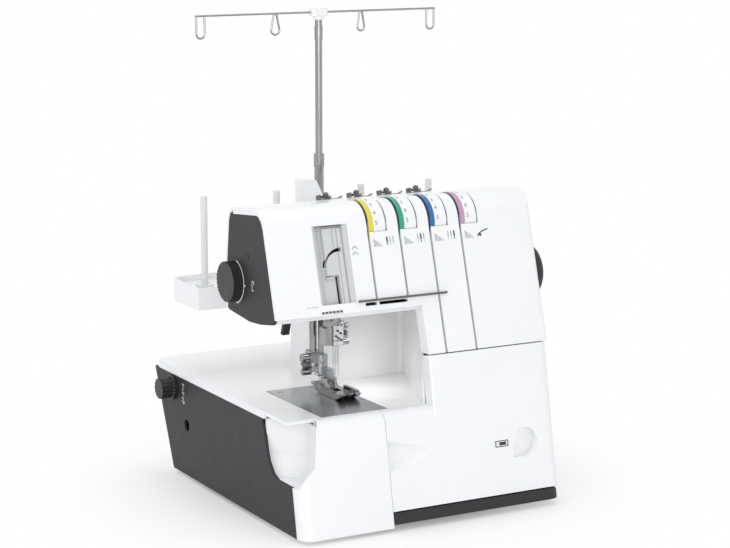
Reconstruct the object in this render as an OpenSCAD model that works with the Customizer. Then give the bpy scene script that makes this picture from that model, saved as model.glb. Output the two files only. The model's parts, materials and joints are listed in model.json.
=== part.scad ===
// Three-needle coverstitch sewing machine with a rear thread stand.
// +X is the handwheel side, -Y is the operator's side, +Z is up.
// The origin is on the table, midway between the side panels.

/* [Body] */
// Width over the two side panels
body_w = 310; // [304:1:316]
// How far the foot of the front face lies ahead of the origin
front_y = 184; // [182:1:188]
// How far the back edge of the bed lies behind the origin
back_y = 185; // [180:1:190]
// Height of the bed above the table
bed_z = 120; // [118:0.5:122]
// Height of the line between the looper cover and the upper cover
joint_z = 172; // [168:1:176]
// Height of the top front edge before rounding
top_z = 330; // [328:1:336]
// Rearward lean of the lower front, in mm for each mm of height
lean_low = 0.19; // [0.18:0.005:0.2]
// Rearward lean of the upper front, in mm for each mm of height
lean_up = 0.29; // [0.28:0.005:0.3]
// Thickness of the moulded covers
wall = 3; // [2.8:0.1:3.2]

/* [Head] */
// How far the head overhangs the left panel
head_overhang = 6; // [4:0.5:8]
// Height of the front edge of the head's underside
head_z = 222; // [220:0.5:224]
// Place of the throat's front right edge across the machine
throat_x = 7; // [5:0.5:9]
// Diameter of the presser pressure knob
pressure_knob_d = 42; // [38:0.5:43]

/* [Tension dials] */
// Distance from one tension dial to the next
dial_pitch = 36.5; // [36:0.1:37]
// Width of a tension dial
dial_w = 19.5; // [18.5:0.25:20]
// How far a dial's rim stands above the cover
dial_lift = 1; // [0.8:0.1:1.2]

/* [Sewing area] */
// Width of the needle plate
plate_w = 76.5; // [75:0.5:78]
// Distance between neighbouring needles
needle_pitch = 3; // [2.8:0.1:3.2]
// Travel of the needle bar
needle_stroke = 28; // [26:0.5:28]

/* [Thread stand] */
// Width of the spool tray
tray_w = 328; // [320:1:336]
// Distance between the two outer spool pins
pin_span = 282; // [276:1:286]
// Height of the spool pins above the tray
pin_h = 100; // [90:1:110]
// Height of the thread guide above the table
guide_z = 510; // [504:1:514]

/* [Hidden] */
$fn = 48;

// Colours
white = [0.93, 0.94, 0.94];
light_grey = [0.78, 0.79, 0.8];
charcoal = [0.16, 0.16, 0.17];
black = [0.07, 0.07, 0.07];
steel = [0.72, 0.73, 0.75];
cast = [0.6, 0.61, 0.62];
band_colours = ["gold", "seagreen", "steelblue", "plum"];

// Clearances: a running shaft, a sliding bar, and the seams between covers
run_gap = 0.05;
seam = 0.5;
eps = 0.01;

// Heights and edges of the body
half_w = body_w / 2;
pan_z = 4;
floor_z = 7;
strip_z = 20;
skirt_h = 8;
skirt_z = bed_z - skirt_h;
cover_depth = 15;
edge_r = 13;
top_ref_y = -106;
top_fall = 0.1;
ridge_y = -40;
column_back = 55;
column_x = -47;
throat_y = -13;
throat_back_x = 57;
head_back = -23;
head_x = -half_w - head_overhang;
corner_r = 27;

// Front face, top line and back edge as functions
function front_at(z) = z <= joint_z
    ? -front_y + lean_low * (z - pan_z)
    : front_at(joint_z) + lean_up * (z - joint_z);
function top_at(y) = top_z - top_fall * (y - top_ref_y);
function back_at(z) = back_y - 3 - 0.44 * (skirt_z - z);
function rear_slope_at(y) = top_at(ridge_y) - 0.25 * (y - ridge_y);
// Inside line of the rear cover where it turns down into the back wall, set in by d
function rear_inner(d = 0) = let (y1 = column_back) [
    [y1 - wall, rear_slope_at(y1) - 6 - d],
    [y1 - wall - 2, rear_slope_at(y1) - 4.4 - d],
    [y1 - 10, rear_slope_at(y1 - 10) - wall * 1.04 - d]];
function cover_back_at(z) = front_at(z) + cover_depth * low_sec;
low_sec = sqrt(1 + lean_low * lean_low);
up_sec = sqrt(1 + lean_up * lean_up);
top_sec = sqrt(1 + top_fall * top_fall);
low_angle = atan(lean_low);
up_angle = atan(lean_up);

// Where lines at a inside the upper front and at b inside the top line meet
function inner_corner(a, b) = let (
    z = (top_z - top_fall * (front_at(joint_z) - lean_up * joint_z + a * up_sec - top_ref_y)
        - b * top_sec) / (1 + top_fall * lean_up))
    [front_at(z) + a * up_sec, z];
// Centre of the rounded top front corner, where the tension axle lies
corner_y = inner_corner(corner_r, corner_r)[0];
corner_z = inner_corner(corner_r, corner_r)[1];

// Sewing area
needle_x = -57;
needle_y = -68;
presser_x = -67;
presser_y = -36;
plate_x0 = needle_x - 58.5;
plate_y0 = front_at(bed_z) + cover_depth * low_sec + 0.3;
plate_y1 = -20;
plate_t = 2;
plate_lip = 3.5;
foot_x0 = -69;
foot_x1 = -45;
foot_pin_y = -52;
foot_pin_z = 132;
needle_tip = 139.5;
clamp_z0 = 172;
clamp_z1 = 200;
bar_d = 7;
presser_d = 8;
bush_low = 226;
bush_high = 276;
bush_t = 6;

lifter_x = -88;
lifter_y = head_back - 8;
lifter_z = 238;
take_up_x = -83.5;
take_up_pivot = [-96, 247];
take_up_t = 1.6;
looper_pivot = [-56, 56];
looper_y = needle_y + 3.5;

// Drive
shaft_y = needle_y;
shaft_z = 232;
lower_shaft_z = 62;
shaft_d = 12;
crank_x = -50;
crank_r = 14.2;
belt_x = half_w - 37;
drive_x = half_w - 21;
pulley_r = 20;
drive_r = 30;
motor_y = -10;
motor_z = 62;
motor_r = 28;
motor_pulley_r = 7.5;
belt_t = 2;

// Tension dials
dial_x0 = -43;
dial_r = corner_r + dial_lift;
band_w = 5.5;
axle_d = 8;
function dial_x(i) = dial_x0 + i * dial_pitch;
channel_w = 2.4;
channel_x = [for (i = [0:3]) dial_x(i) - channel_w / 2];
channel_bottom = [232, 232, joint_z + seam, joint_z + seam];

// Thread stand
stand_x = 6;
tray_floor = 216;
tray_rim = 222;
tray_bottom = 198;
tray_y0 = column_back;
tray_y1 = 134;
pin_y = 88;
pin_d = 7.5;
inner_pin = 53;
pole_y = pin_y;
lower_pole_r = 5.25;
upper_pole_r = 4;
lower_pole_top = 354;
pin_places = [for (s = [-pin_span / 2, -inner_pin, inner_pin, pin_span / 2]) stand_x + s];

// Small controls on the panels
diff_y = 133;
diff_z = 97;
stitch_y = -40;
stitch_z = 110;
switch_y = 0;
switch_z = 60;
inlet_y = 36;
inlet_z = 58;
knob_y = -42;
knob_z = 247;
hinge_z = 27;
hinge_y = front_at(hinge_z) + 7;
hinge_d = 4;
lug_r = 3;
tray_lugs = [-10, 90];
cover_lugs = [-36, 110];
cover_x0 = -50.8;
cover_split = -51.2;
// Paths of the looper cover's bottom and top front corners round its hinge
swing_in = norm([front_at(strip_z + seam) - hinge_y, strip_z + seam - hinge_z]) + 0.4;
swing_out = norm([front_at(joint_z - seam) - hinge_y, joint_z - seam - hinge_z]) + 0.05;
// Radius of the cover's rounded rear corner beside the right panel
corner_swing = cover_back_at(hinge_z) - hinge_y - 0.3;

// Helpers -----------------------------------------------------------------

// A YZ outline pushed along X from x0 to x1
module along_x(x0, x1) {
    translate([x0, 0, 0]) rotate([90, 0, 90]) linear_extrude(x1 - x0) children();
}

// A block given by its two opposite corners
module block(a, b) {
    translate(a) cube(b - a);
}

// A rod along X, Y or Z from a start point
module rod_x(p, length, r) {
    translate(p) rotate([0, 90, 0]) cylinder(h = length, r = r);
}
module rod_y(p, length, r) {
    translate(p) rotate([-90, 0, 0]) cylinder(h = length, r = r);
}
module rod_z(p, length, r) {
    translate(p) cylinder(h = length, r = r);
}

// Turns its children by a degrees about the X-wise line through y and z
module rotate_about(y, z, a) {
    translate([0, y, z]) rotate([a, 0, 0]) translate([0, -y, -z]) children();
}

// Points of an arc about c
function arc(c, r, a0, a1, n = 8) =
    [for (i = [0:n]) c + r * [cos(a0 + (a1 - a0) * i / n), sin(a0 + (a1 - a0) * i / n)]];
function backwards(p) = [for (i = [len(p) - 1:-1:0]) p[i]];

// Plan outline of a rectangle whose four corners have radii r, from front left anticlockwise
module rounded_plan(x0, y0, x1, y1, r) {
    polygon(concat(
        r[0] > 0 ? arc([x0 + r[0], y0 + r[0]], r[0], 180, 270) : [[x0, y0]],
        r[1] > 0 ? arc([x1 - r[1], y0 + r[1]], r[1], 270, 360) : [[x1, y0]],
        r[2] > 0 ? arc([x1 - r[2], y1 - r[2]], r[2], 0, 90) : [[x1, y1]],
        r[3] > 0 ? arc([x0 + r[3], y1 - r[3]], r[3], 90, 180) : [[x0, y1]]));
}

// A plan pushed along the lean of the lower front; y = 0 of the plan is the front face
module low_lean(h = 240) {
    translate([0, front_at(pan_z), pan_z]) rotate([-low_angle, 0, 0])
        translate([0, 0, -20]) linear_extrude(h) children();
}

// The same for the upper front, whose local z runs up the face from the joint line
module up_frame() {
    translate([0, front_at(joint_z), joint_z]) rotate([-up_angle, 0, 0]) children();
}

// Front face of the upper cover, inset by d, from height z0 up to the ridge
function upper_skin(z0, d, n = 12) = concat(
    [[front_at(z0) + d * up_sec, z0]],
    arc([corner_y, corner_z], corner_r - d, 180 - up_angle, 90 - atan(top_fall), n),
    [[ridge_y, top_at(ridge_y) - d * top_sec]]);

// Back of the head, inset by d, from the ridge down to height z0
function head_rear(z0, d) = [
    [ridge_y, top_at(ridge_y) - d * top_sec],
    [head_back - 9 - d * 0.6, top_at(ridge_y) - 4 - d],
    [head_back - 5 - d, top_at(ridge_y) - 14],
    [head_back - d, 270],
    [head_back - d, z0]];

// Underside of the head, inset by d, from front to back
function head_under(d) = [
    [front_at(head_z) + wall * up_sec, head_z + d],
    [-128, head_z - 6 + d],
    [-102, head_z - 10 + d],
    [-77, head_z - 11.5 + d],
    [head_back - wall - 3, head_z - 7 + d],
    [head_back - wall, head_z - 5 + d]];

// Front face of the lower cover with its rounded top edge, inset by d, from height z0
function low_edge(z0, d) = let (
    r = edge_r,
    back = front_at(bed_z) + cover_depth * low_sec,
    cz = bed_z - r,
    cy = front_at(cz) + r * low_sec - lean_low * 0.5)
    concat([[front_at(z0) + d * low_sec, z0]],
        arc([cy, cz], r - d, 180 - low_angle, 90),
        [[back, bed_z - d]]);

// A round bar of radius r swept through points p; ref is never along the path
function unit(v) = v / norm(v);
function tangent(p, i) = unit(p[min(i + 1, len(p) - 1)] - p[max(i - 1, 0)]);
module swept(p, r, ref, sides = 8) {
    n = len(p);
    rings = [for (i = [0:n - 1])
        let (t = tangent(p, i), u = unit(cross(t, ref)), v = cross(t, u))
        for (k = [0:sides - 1])
            p[i] + r * (cos(360 * k / sides) * u + sin(360 * k / sides) * v)];
    walls = [for (i = [0:n - 2]) for (k = [0:sides - 1])
        let (a = i * sides + k, b = i * sides + (k + 1) % sides)
        each [[a, a + sides, b + sides], [a, b + sides, b]]];
    polyhedron(rings, concat([[for (k = [0:sides - 1]) k]], walls,
        [[for (k = [sides - 1:-1:0]) (n - 1) * sides + k]]), convexity = 10);
}

// A knurled disc on the X axis: n shallow flutes round the rim
module fluted_x(p, length, r, n, depth = 1) {
    difference() {
        rod_x(p, length, r);
        for (k = [0:n - 1])
            translate(p) rotate([360 * k / n, 0, 0])
                rod_x([-1, 0, r + depth * 0.9], length + 2, depth * 2);
    }
}

// Base ----------------------------------------------------------------------

// Four feet at the corners and one in the middle, whose ring lies over the origin
foot_places = concat([for (x = [-1, 1], y = [-150, 105]) [x * (half_w - 30), y]], [[0, 7.5]]);

module rubber_feet() {
    color(black) for (p = foot_places)
        difference() {
            rod_z([p[0], p[1], 0], floor_z, 11);
            rod_z([p[0], p[1], -1], 3, 4);
        }
}

// The dark pan: its front edge shows under the looper cover
module base_tray() {
    strip_x = -51;
    color(charcoal) {
        difference() {
            block([-half_w + wall, front_at(strip_z) + 6, floor_z],
                  [half_w - wall, back_at(floor_z) - wall - 1, floor_z + 3]);
            block([-half_w, -300, floor_z - 1],
                  [cover_split + seam / 4, cover_back_at(floor_z + 3) + seam, floor_z + 4]);
        }
        difference() {
            intersection() {
                low_lean() rounded_plan(strip_x, 1, half_w - 1, cover_depth,
                    [0, edge_r, 0, 0]);
                block([strip_x, -300, floor_z], [half_w, 300, strip_z]);
            }
            low_lean() rounded_plan(strip_x + wall, 1 + wall, half_w - 1 - wall, 40,
                [0, edge_r - wall, 0, 0]);
            block([half_w - 30, front_at(pan_z) + 8, strip_z - 4.5], [half_w, 0, strip_z + 1]);
            rod_x([strip_x - 1, hinge_y, hinge_z], body_w, swing_in);
        }
        for (x = tray_lugs) difference() {
            union() {
                block([x, hinge_y, hinge_z - lug_r], [x + 6, hinge_y + 22, hinge_z + lug_r]);
                block([x, hinge_y + 15, floor_z + 2], [x + 6, hinge_y + 22, hinge_z]);
                rod_x([x, hinge_y, hinge_z], 6, lug_r);
            }
            rod_x([x - 1, hinge_y, hinge_z], 8, hinge_d / 2 + run_gap);
        }
    }
}

// Left panel outline, with the front edge stepped back beside the grip
function left_panel_outline() = let (f = cover_depth * low_sec) [
    [front_at(pan_z) + f, pan_z], [back_at(pan_z), pan_z], [back_at(skirt_z), skirt_z],
    [-90, skirt_z], [-98, 93], [-101.5, 80], [-106, 69], [-115, 59], [-126, 55],
    [front_at(55) + f, 55]];

module left_side_panel() {
    color(charcoal) difference() {
        along_x(-half_w, -half_w + wall) polygon(left_panel_outline());
        rod_x([-half_w - 1, 97, 61], 5, 6.5);
        rod_x([-half_w - 1, diff_y, diff_z], 5, 4 + run_gap);
    }
}

// The right panel closes the tower and the base behind the two front covers
module right_side_panel() {
    f = cover_depth;
    outline = concat(
        [[cover_back_at(strip_z) + 1, floor_z + 3], [cover_back_at(strip_z) + 1, strip_z],
         [hinge_y + corner_swing + seam, strip_z + seam]],
        arc([hinge_y, hinge_z], corner_swing + seam, -36, -4, 6),
        [[cover_back_at(joint_z), joint_z],
         [front_at(joint_z) + f * up_sec, joint_z]],
        [for (q = upper_skin(joint_z, f)) if (q[1] > joint_z + 1) q],
        [[ridge_y, top_at(ridge_y) - wall * top_sec]], backwards(rear_inner(0.2)),
        [[column_back - wall, bed_z], [column_back, bed_z], [column_back, skirt_z],
         [back_at(skirt_z) - wall, skirt_z], [back_at(floor_z + 3) - wall, floor_z + 3]]);
    color(white) difference() {
        along_x(half_w - wall, half_w) polygon(outline);
        rod_x([half_w - 5, shaft_y, shaft_z], 8, 8);
        rod_x([half_w - 5, stitch_y, stitch_z], 8, 4 + run_gap);
        block([half_w - 5, switch_y - 7, switch_z - 11], [half_w + 1, switch_y + 7, switch_z + 11]);
        rod_y([half_w - wall / 2, switch_y - 8.2, switch_z], 16.4, 1.1 + run_gap);
        block([half_w - 5, inlet_y - 13, inlet_z - 9], [half_w + 1, inlet_y + 13, inlet_z + 9]);
        for (k = [0:6])
            block([half_w - 5, 70 + k * 7, 50], [half_w + 1, 73 + k * 7, 84]);
    }
}

module rear_base_cover() {
    color(white) along_x(-half_w + wall, half_w - wall) polygon([
        [back_at(floor_z) - wall - 1, floor_z], [back_at(floor_z), floor_z],
        [back_at(skirt_z), skirt_z], [back_at(skirt_z) - wall - 1, skirt_z]]);
}

// The bed: a white top with a skirt, open under the column and the tower
module bed_cover() {
    front = front_at(bed_z) + cover_depth * low_sec;
    inner = [[throat_x + wall + 3, front - 1], [throat_back_x + wall + 3, throat_y + wall],
        [column_x + wall, throat_y + wall], [column_x + wall, column_back - wall],
        [half_w + 1, column_back - wall], [half_w + 1, front - 1]];
    color(white) difference() {
        union() {
            translate([0, 0, bed_z - 4]) linear_extrude(4)
                rounded_plan(-half_w, front, half_w, back_y, [0, 0, 16, 16]);
            difference() {
                translate([0, 0, skirt_z]) linear_extrude(4.5)
                    rounded_plan(-half_w, front, half_w, back_y, [0, 0, 16, 16]);
                translate([0, 0, skirt_z - 1]) linear_extrude(6)
                    rounded_plan(-half_w + wall, front + wall, half_w - wall, back_y - wall - 3,
                        [0, 0, 13, 13]);
            }
        }
        translate([0, 0, skirt_z - 1]) linear_extrude(20) polygon(inner);
        block([half_w - 20, -200, skirt_z - 1], [half_w + 1, column_back - wall, bed_z + 1]);
        block([half_w - wall - 0.05, column_back - wall - 1, skirt_z - 1],
              [half_w + 1, column_back + 0.05, bed_z + 1]);
        block([plate_x0 - 0.15, plate_y0 - 10, bed_z - plate_t],
              [plate_x0 + plate_w + 0.15, plate_y1 + 0.15, bed_z + 1]);
        block([plate_x0 - 0.15, plate_y0 - 10, bed_z - plate_lip],
              [plate_x0 + plate_w + 0.15, plate_y0 + 1.4, bed_z + 1]);
        block([plate_x0 + 4, plate_y0 - 10, skirt_z - 1],
              [plate_x0 + plate_w - 4, plate_y1 - 4, bed_z + 1]);
        grip_cut(bed_z - 4);
    }
}

// Finger grip hollowed out of the front left corner
grip_c = [-half_w - 12.5, -138.3];
grip_r = 45;
grip_z0 = 55;
grip_z1 = 75;
module grip_cut(top, extra = 0) {
    translate([grip_c[0], grip_c[1], grip_z1]) cylinder(h = top - grip_z1, r = grip_r + extra);
    translate([grip_c[0], grip_c[1], grip_z0 - extra])
        cylinder(h = grip_z1 - grip_z0 + extra, r1 = grip_r - 12, r2 = grip_r + extra);
}

// White corner block left of the looper cover
module front_left_cover() {
    x1 = cover_split;
    color(white) difference() {
        union() {
            difference() {
                intersection() {
                    low_lean() rounded_plan(-half_w, 0, x1, cover_depth, [edge_r, 0, 0, 0]);
                    along_x(-half_w, x1) polygon(concat(low_edge(pan_z, 0),
                        [[front_at(bed_z) + cover_depth * low_sec, pan_z]]));
                }
                intersection() {
                    low_lean() rounded_plan(-half_w + wall, wall, x1 - wall, 60,
                        [edge_r - wall, 0, 0, 0]);
                    along_x(-half_w, x1) polygon(concat(low_edge(pan_z - 1, wall),
                        [[0, bed_z - wall], [0, pan_z - 1]]));
                }
            }
            intersection() {
                grip_cut(skirt_z, 2.5);
                block([-half_w + wall, -300, grip_z0 - 3], [-half_w + 37, -90, skirt_z]);
                low_lean() rounded_plan(-half_w, wall, x1, 100, [0, 0, 0, 0]);
            }
        }
        grip_cut(bed_z + 1);
    }
}

// Looper cover ----------------------------------------------------------------

pull_x = 107;
pull_z = 71;
pull_r = 15;
module finger_pull_cut() {
    intersection() {
        union() {
            block([pull_x - 8, -200, pull_z - pull_r], [pull_x + 7, -100, pull_z + pull_r]);
            rod_y([pull_x + 7, -200, pull_z], 100, pull_r);
        }
        translate([pull_x - 8, front_at(pull_z), pull_z]) rotate([0, 0, 17])
            translate([-10, -40, -50]) cube([60, 40, 100]);
    }
}

// Conical scoop beside the corner block, for pulling the cover's left edge
scoop_z = 77;
module scoop_cut() {
    translate([cover_x0 - eps, front_at(scoop_z) - 6, scoop_z]) rotate([0, 90, 0])
        cylinder(h = 56, r1 = 17, r2 = 5);
}

// Rear corner of the cover below its hinge, outside the circle it swings in
module corner_cut() {
    difference() {
        block([half_w - wall - 0.4, hinge_y, strip_z], [half_w + 1, hinge_y + 20, hinge_z]);
        rod_x([half_w - 10, hinge_y, hinge_z], 15, corner_swing);
    }
}

module looper_cover() {
    top = joint_z - seam;
    z0 = strip_z + seam;
    color(white) difference() {
        union() {
            difference() {
                union() {
                    intersection() {
                        low_lean() rounded_plan(cover_x0, 0, throat_x + 1, cover_depth - 0.3,
                            [0, 0, 0, 0]);
                        along_x(cover_x0, throat_x + 1) polygon(concat(low_edge(z0, 0),
                            [[front_at(bed_z) + 30, z0]]));
                    }
                    intersection() {
                        low_lean() rounded_plan(throat_x, 0, half_w, cover_depth - 0.3,
                            [2, edge_r, 0, 0]);
                        block([throat_x, -300, z0], [half_w, 0, top]);
                        rod_x([0, hinge_y, hinge_z], half_w, swing_out);
                    }
                }
                intersection() {
                    low_lean() rounded_plan(cover_x0 + wall, wall, throat_x + wall + 1, 60,
                        [0, 0, 0, 0]);
                    along_x(cover_x0, throat_x + wall + 1) polygon(concat(low_edge(z0 - 1, wall),
                        [[0, bed_z - wall], [0, z0 - 1]]));
                }
                intersection() {
                    low_lean() rounded_plan(throat_x + wall, wall, half_w - wall, 60,
                        [0, edge_r - wall, 0, 0]);
                    block([throat_x, -300, z0 - 1], [half_w, 0, top - wall - 2]);
                }
            }
            // Thicker wall behind the scoop and the finger pull
            intersection() {
                low_lean() rounded_plan(cover_x0, 1, 2, 13, [0, 0, 0, 0]);
                block([cover_x0, -300, scoop_z - 20], [2, 0, scoop_z + 20]);
            }
            intersection() {
                low_lean() rounded_plan(pull_x - 10, 1, pull_x + 26, 13, [0, 0, 0, 0]);
                block([0, -300, pull_z - 19], [half_w, 0, pull_z + 19]);
            }
            // Hinge lugs
            for (x = cover_lugs) {
                block([x, front_at(hinge_z) + wall - 1, hinge_z - lug_r],
                      [x + 10, hinge_y, hinge_z + lug_r]);
                rod_x([x, hinge_y, hinge_z], 10, lug_r);
            }
        }
        scoop_cut();
        finger_pull_cut();
        corner_cut();
        rod_x([-half_w, hinge_y, hinge_z], body_w, hinge_d / 2 + run_gap);
    }
}

// The rod that the cover turns on; it slides to the right with the cover
module looper_cover_hinge() {
    color(steel) {
        rod_x([cover_lugs[0] - 6, hinge_y, hinge_z], cover_lugs[1] - cover_lugs[0] + 24, hinge_d / 2);
        rod_x([cover_lugs[0] - 4, hinge_y, hinge_z], 3.8, lug_r + 0.6);
        rod_x([cover_lugs[1] + 10.2, hinge_y, hinge_z], 3.8, lug_r + 0.6);
    }
}

// Needle plate and feed ---------------------------------------------------------

slot_x = [for (s = [-7, 0, 7]) needle_x + s];
slot_w = 3.6;
screw_places = [[plate_x0 + 12, plate_y1 - 12], [plate_x0 + plate_w - 26, plate_y1 - 10]];

module needle_plate() {
    x1 = plate_x0 + plate_w;
    color(steel) difference() {
        union() {
            block([plate_x0, plate_y0, bed_z - plate_t], [x1, plate_y1, bed_z + 0.2]);
            block([plate_x0, plate_y0, bed_z - plate_lip], [x1, plate_y0 + 1.2, bed_z]);
        }
        for (x = slot_x)
            block([x - slot_w / 2, needle_y - (x == needle_x ? -4 : 14), bed_z - 5],
                  [x + slot_w / 2, needle_y + 32, bed_z + 1]);
        block([needle_x - needle_pitch - 1.2, needle_y - 1.6, bed_z - 5],
              [needle_x + needle_pitch + 1.2, needle_y + 1.6, bed_z + 1]);
        for (p = screw_places) rod_z([p[0], p[1], bed_z - 5], 6, 3.5);
        block([x1 - 14, plate_y0 + 44, bed_z - 5], [x1 + 1, plate_y0 + 45.2, bed_z + 1]);
    }
}

module plate_screws() {
    color(steel) for (p = screw_places) difference() {
        union() {
            rod_z([p[0], p[1], bed_z - plate_t - 12], 12.01, 2);
            rod_z([p[0], p[1], bed_z - plate_t], plate_t, 3.4);
        }
        block([p[0] - 4, p[1] - 0.4, bed_z - 0.7], [p[0] + 4, p[1] + 0.4, bed_z + 1]);
    }
}

// Three toothed rows on one bar
module feed_dog() {
    color(steel) {
        for (x = slot_x) {
            y0 = needle_y - (x == needle_x ? -7 : 11);
            y1 = needle_y + 29;
            block([x - 1.2, y0, bed_z - 14], [x + 1.2, y1, bed_z - 0.4]);
        }
        block([slot_x[0] - 1.2, needle_y + 10, bed_z - 14], [slot_x[2] + 1.2, needle_y + 26, bed_z - 8]);
        block([needle_x - 4, needle_y + 26, bed_z - 14], [needle_x + 4, needle_y + 58, bed_z - 8]);
    }
}

// Frame ---------------------------------------------------------------------------

rib_x = [-34, half_w - 51];
rib_t = 8;
feed_guide_y = needle_y + 38;
axle_ends = [-52, 96];
bridge_z = 262;
arm_x0 = -half_w + 35;
arm_y0 = -92;
arm_y1 = -31;
bearing_r = 11;

// Cast frame: bed plate, two upright ribs, a back plate and the arm's box
module main_frame() {
    rib_low = [[-112, floor_z + 5], [30, floor_z + 5], [30, 300], [arm_y1 + 20, 300],
        [arm_y1 + 20, bush_low + 6], [throat_y + wall + 2, bush_low - 2],
        [throat_y + wall + 2, 108], [-112, 90]];
    rib_tower = [[-112, floor_z + 5], [30, floor_z + 5], [30, 300], [-60, 300],
        [-60, 276], [-112, 262]];
    color(cast) difference() {
        union() {
            block([-half_w + 15, -145, floor_z + 5], [half_w - 20, 118, floor_z + 11]);
            for (x = [-half_w + 25, half_w - 30], y = [-130, 100])
                rod_z([x, y, floor_z + 3], 2.5, 8);
            along_x(rib_x[0], rib_x[0] + rib_t) polygon(rib_low);
            along_x(rib_x[1], rib_x[1] + rib_t) polygon(rib_tower);
            block([rib_x[0], 22, floor_z + 5], [rib_x[1] + rib_t, 30, 300]);
            // Arm box round the needle bar and the presser bar
            block([arm_x0, arm_y0, bush_low], [rib_x[0] + rib_t, arm_y1 + 2, bush_low + bush_t]);
            block([arm_x0, arm_y0, bush_high], [axle_ends[0] + 5, arm_y1 + 2, bush_high + bush_t]);
            block([arm_x0, arm_y0, bush_low], [arm_x0 + 8, arm_y1 + 2, bush_high + bush_t]);
            block([rib_x[0], arm_y0, bush_low], [rib_x[0] + rib_t, 30, bridge_z + 9]);
            // Bearing bosses of the two shafts
            for (x = rib_x) rod_x([x - 3, shaft_y, shaft_z], rib_t + 6, bearing_r);
            for (x = rib_x) rod_x([x - 3, shaft_y, lower_shaft_z], rib_t + 6, bearing_r);
            // Tension axle bridge
            for (x = axle_ends) block([x, corner_y - 7, bridge_z], [x + 5, corner_y + 7, corner_z + 7]);
            block([axle_ends[0], corner_y, bridge_z], [rib_x[1] + 1, corner_y + 7, bridge_z + 9]);
            // Bracket and pin of the take-up lever
            block([take_up_x - 7, take_up_pivot[0] - 4, take_up_pivot[1] - 4],
                  [take_up_x - 3, arm_y0 + 4, bush_high + bush_t]);
            rod_x([take_up_x - 5, take_up_pivot[0], take_up_pivot[1]], 9, 2);
            // Bracket and pin of the presser lifter
            block([lifter_x - 10, lifter_y - 8, bush_low],
                  [lifter_x - 5.5, lifter_y + 4.5, lifter_z + 5]);
            rod_x([lifter_x - 8, lifter_y + 2, lifter_z], 13, 2);
            // Arm and pin of the looper
            block([looper_pivot[0] - 5, looper_y + 23.5, looper_pivot[1] - 9],
                  [rib_x[0] + 1, looper_y + 31, looper_pivot[1] + 9]);
            rod_y([looper_pivot[0], looper_y - 2, looper_pivot[1]], 28, 3);
            // Feed bar guide
            block([needle_x - 10, feed_guide_y, floor_z + 5],
                  [needle_x + 10, feed_guide_y + 8, bed_z - 7]);
        }
        for (x = rib_x) rod_x([x - 4, shaft_y, shaft_z], rib_t + 8, shaft_d / 2 + run_gap);
        for (x = rib_x) rod_x([x - 4, shaft_y, lower_shaft_z], rib_t + 8, shaft_d / 2 + run_gap);
        rod_z([needle_x, needle_y, bush_low - 1], bush_high - bush_low + bush_t + 2, bar_d / 2 + run_gap);
        rod_z([presser_x, presser_y, bush_low - 1], bush_high - bush_low + bush_t + 2,
            presser_d / 2 + run_gap);
        for (x = axle_ends) rod_x([x - 1, corner_y, corner_z], 7, axle_d / 2);
        block([needle_x - 4.1, feed_guide_y - 1, bed_z - 14.1],
              [needle_x + 4.1, feed_guide_y + 9, bed_z - 7.9]);
        for (p = screw_places) rod_z([p[0], p[1], bed_z - 15], 10, 2);
        rod_x([rib_x[1] - 1, motor_y, motor_z], rib_t + 2, 7);
        // Slots in the arm's lower plate for the crank with its shaft, and for the lifter
        block([crank_x - 2, shaft_y - 16, bush_low - 1],
              [rib_x[0] - 3, shaft_y + 16, bush_low + bush_t + 1]);
        block([lifter_x - 5, arm_y1, bush_low - 1],
              [lifter_x + 5, arm_y1 + 3, bush_low + bush_t + 1]);
    }
}

// Throat ----------------------------------------------------------------------------

// Back wall of the throat and the tower's slanting inner wall
module throat_cover() {
    along = unit([throat_back_x - throat_x, throat_y - front_at(head_z)]);
    side = wall * [along[1], -along[0]];
    b = [throat_back_x, throat_y];
    color(light_grey) difference() {
        translate([0, 0, bed_z]) linear_extrude(head_z - 9 - bed_z) polygon([
            [column_x + wall, throat_y], [b[0] - 8, throat_y], b - 3 * [along[0] + 0.6, along[1]],
            b - 150 * along, b + side - 150 * along, [b[0] + side[0], throat_y + wall],
            [column_x + wall, throat_y + wall]]);
        intersection() {
            low_lean() rounded_plan(-half_w, -20, half_w, cover_depth + 0.5, [0, 0, 0, 0]);
            block([-half_w, -300, bed_z - 1], [half_w, 0, joint_z]);
        }
        intersection() {
            up_frame() translate([0, 0, -20]) linear_extrude(200)
                rounded_plan(-half_w, -20, half_w, cover_depth + 0.5, [0, 0, 0, 0]);
            block([-half_w, -300, joint_z], [half_w, 0, head_z]);
        }
    }
}

// Upper covers ------------------------------------------------------------------------

module upper_shell(x0, x1, z0, outer, inner) {
    along_x(x0, x1) polygon(concat(upper_skin(z0, outer), backwards(upper_skin(z0, inner))));
}

recess_x = [-108, -68];
recess_s = [62.5, 143];
recess_depth = 9;
hood_x = [-97.5, -73];
hood_s = 92;
slot_row = 57.5;

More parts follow.
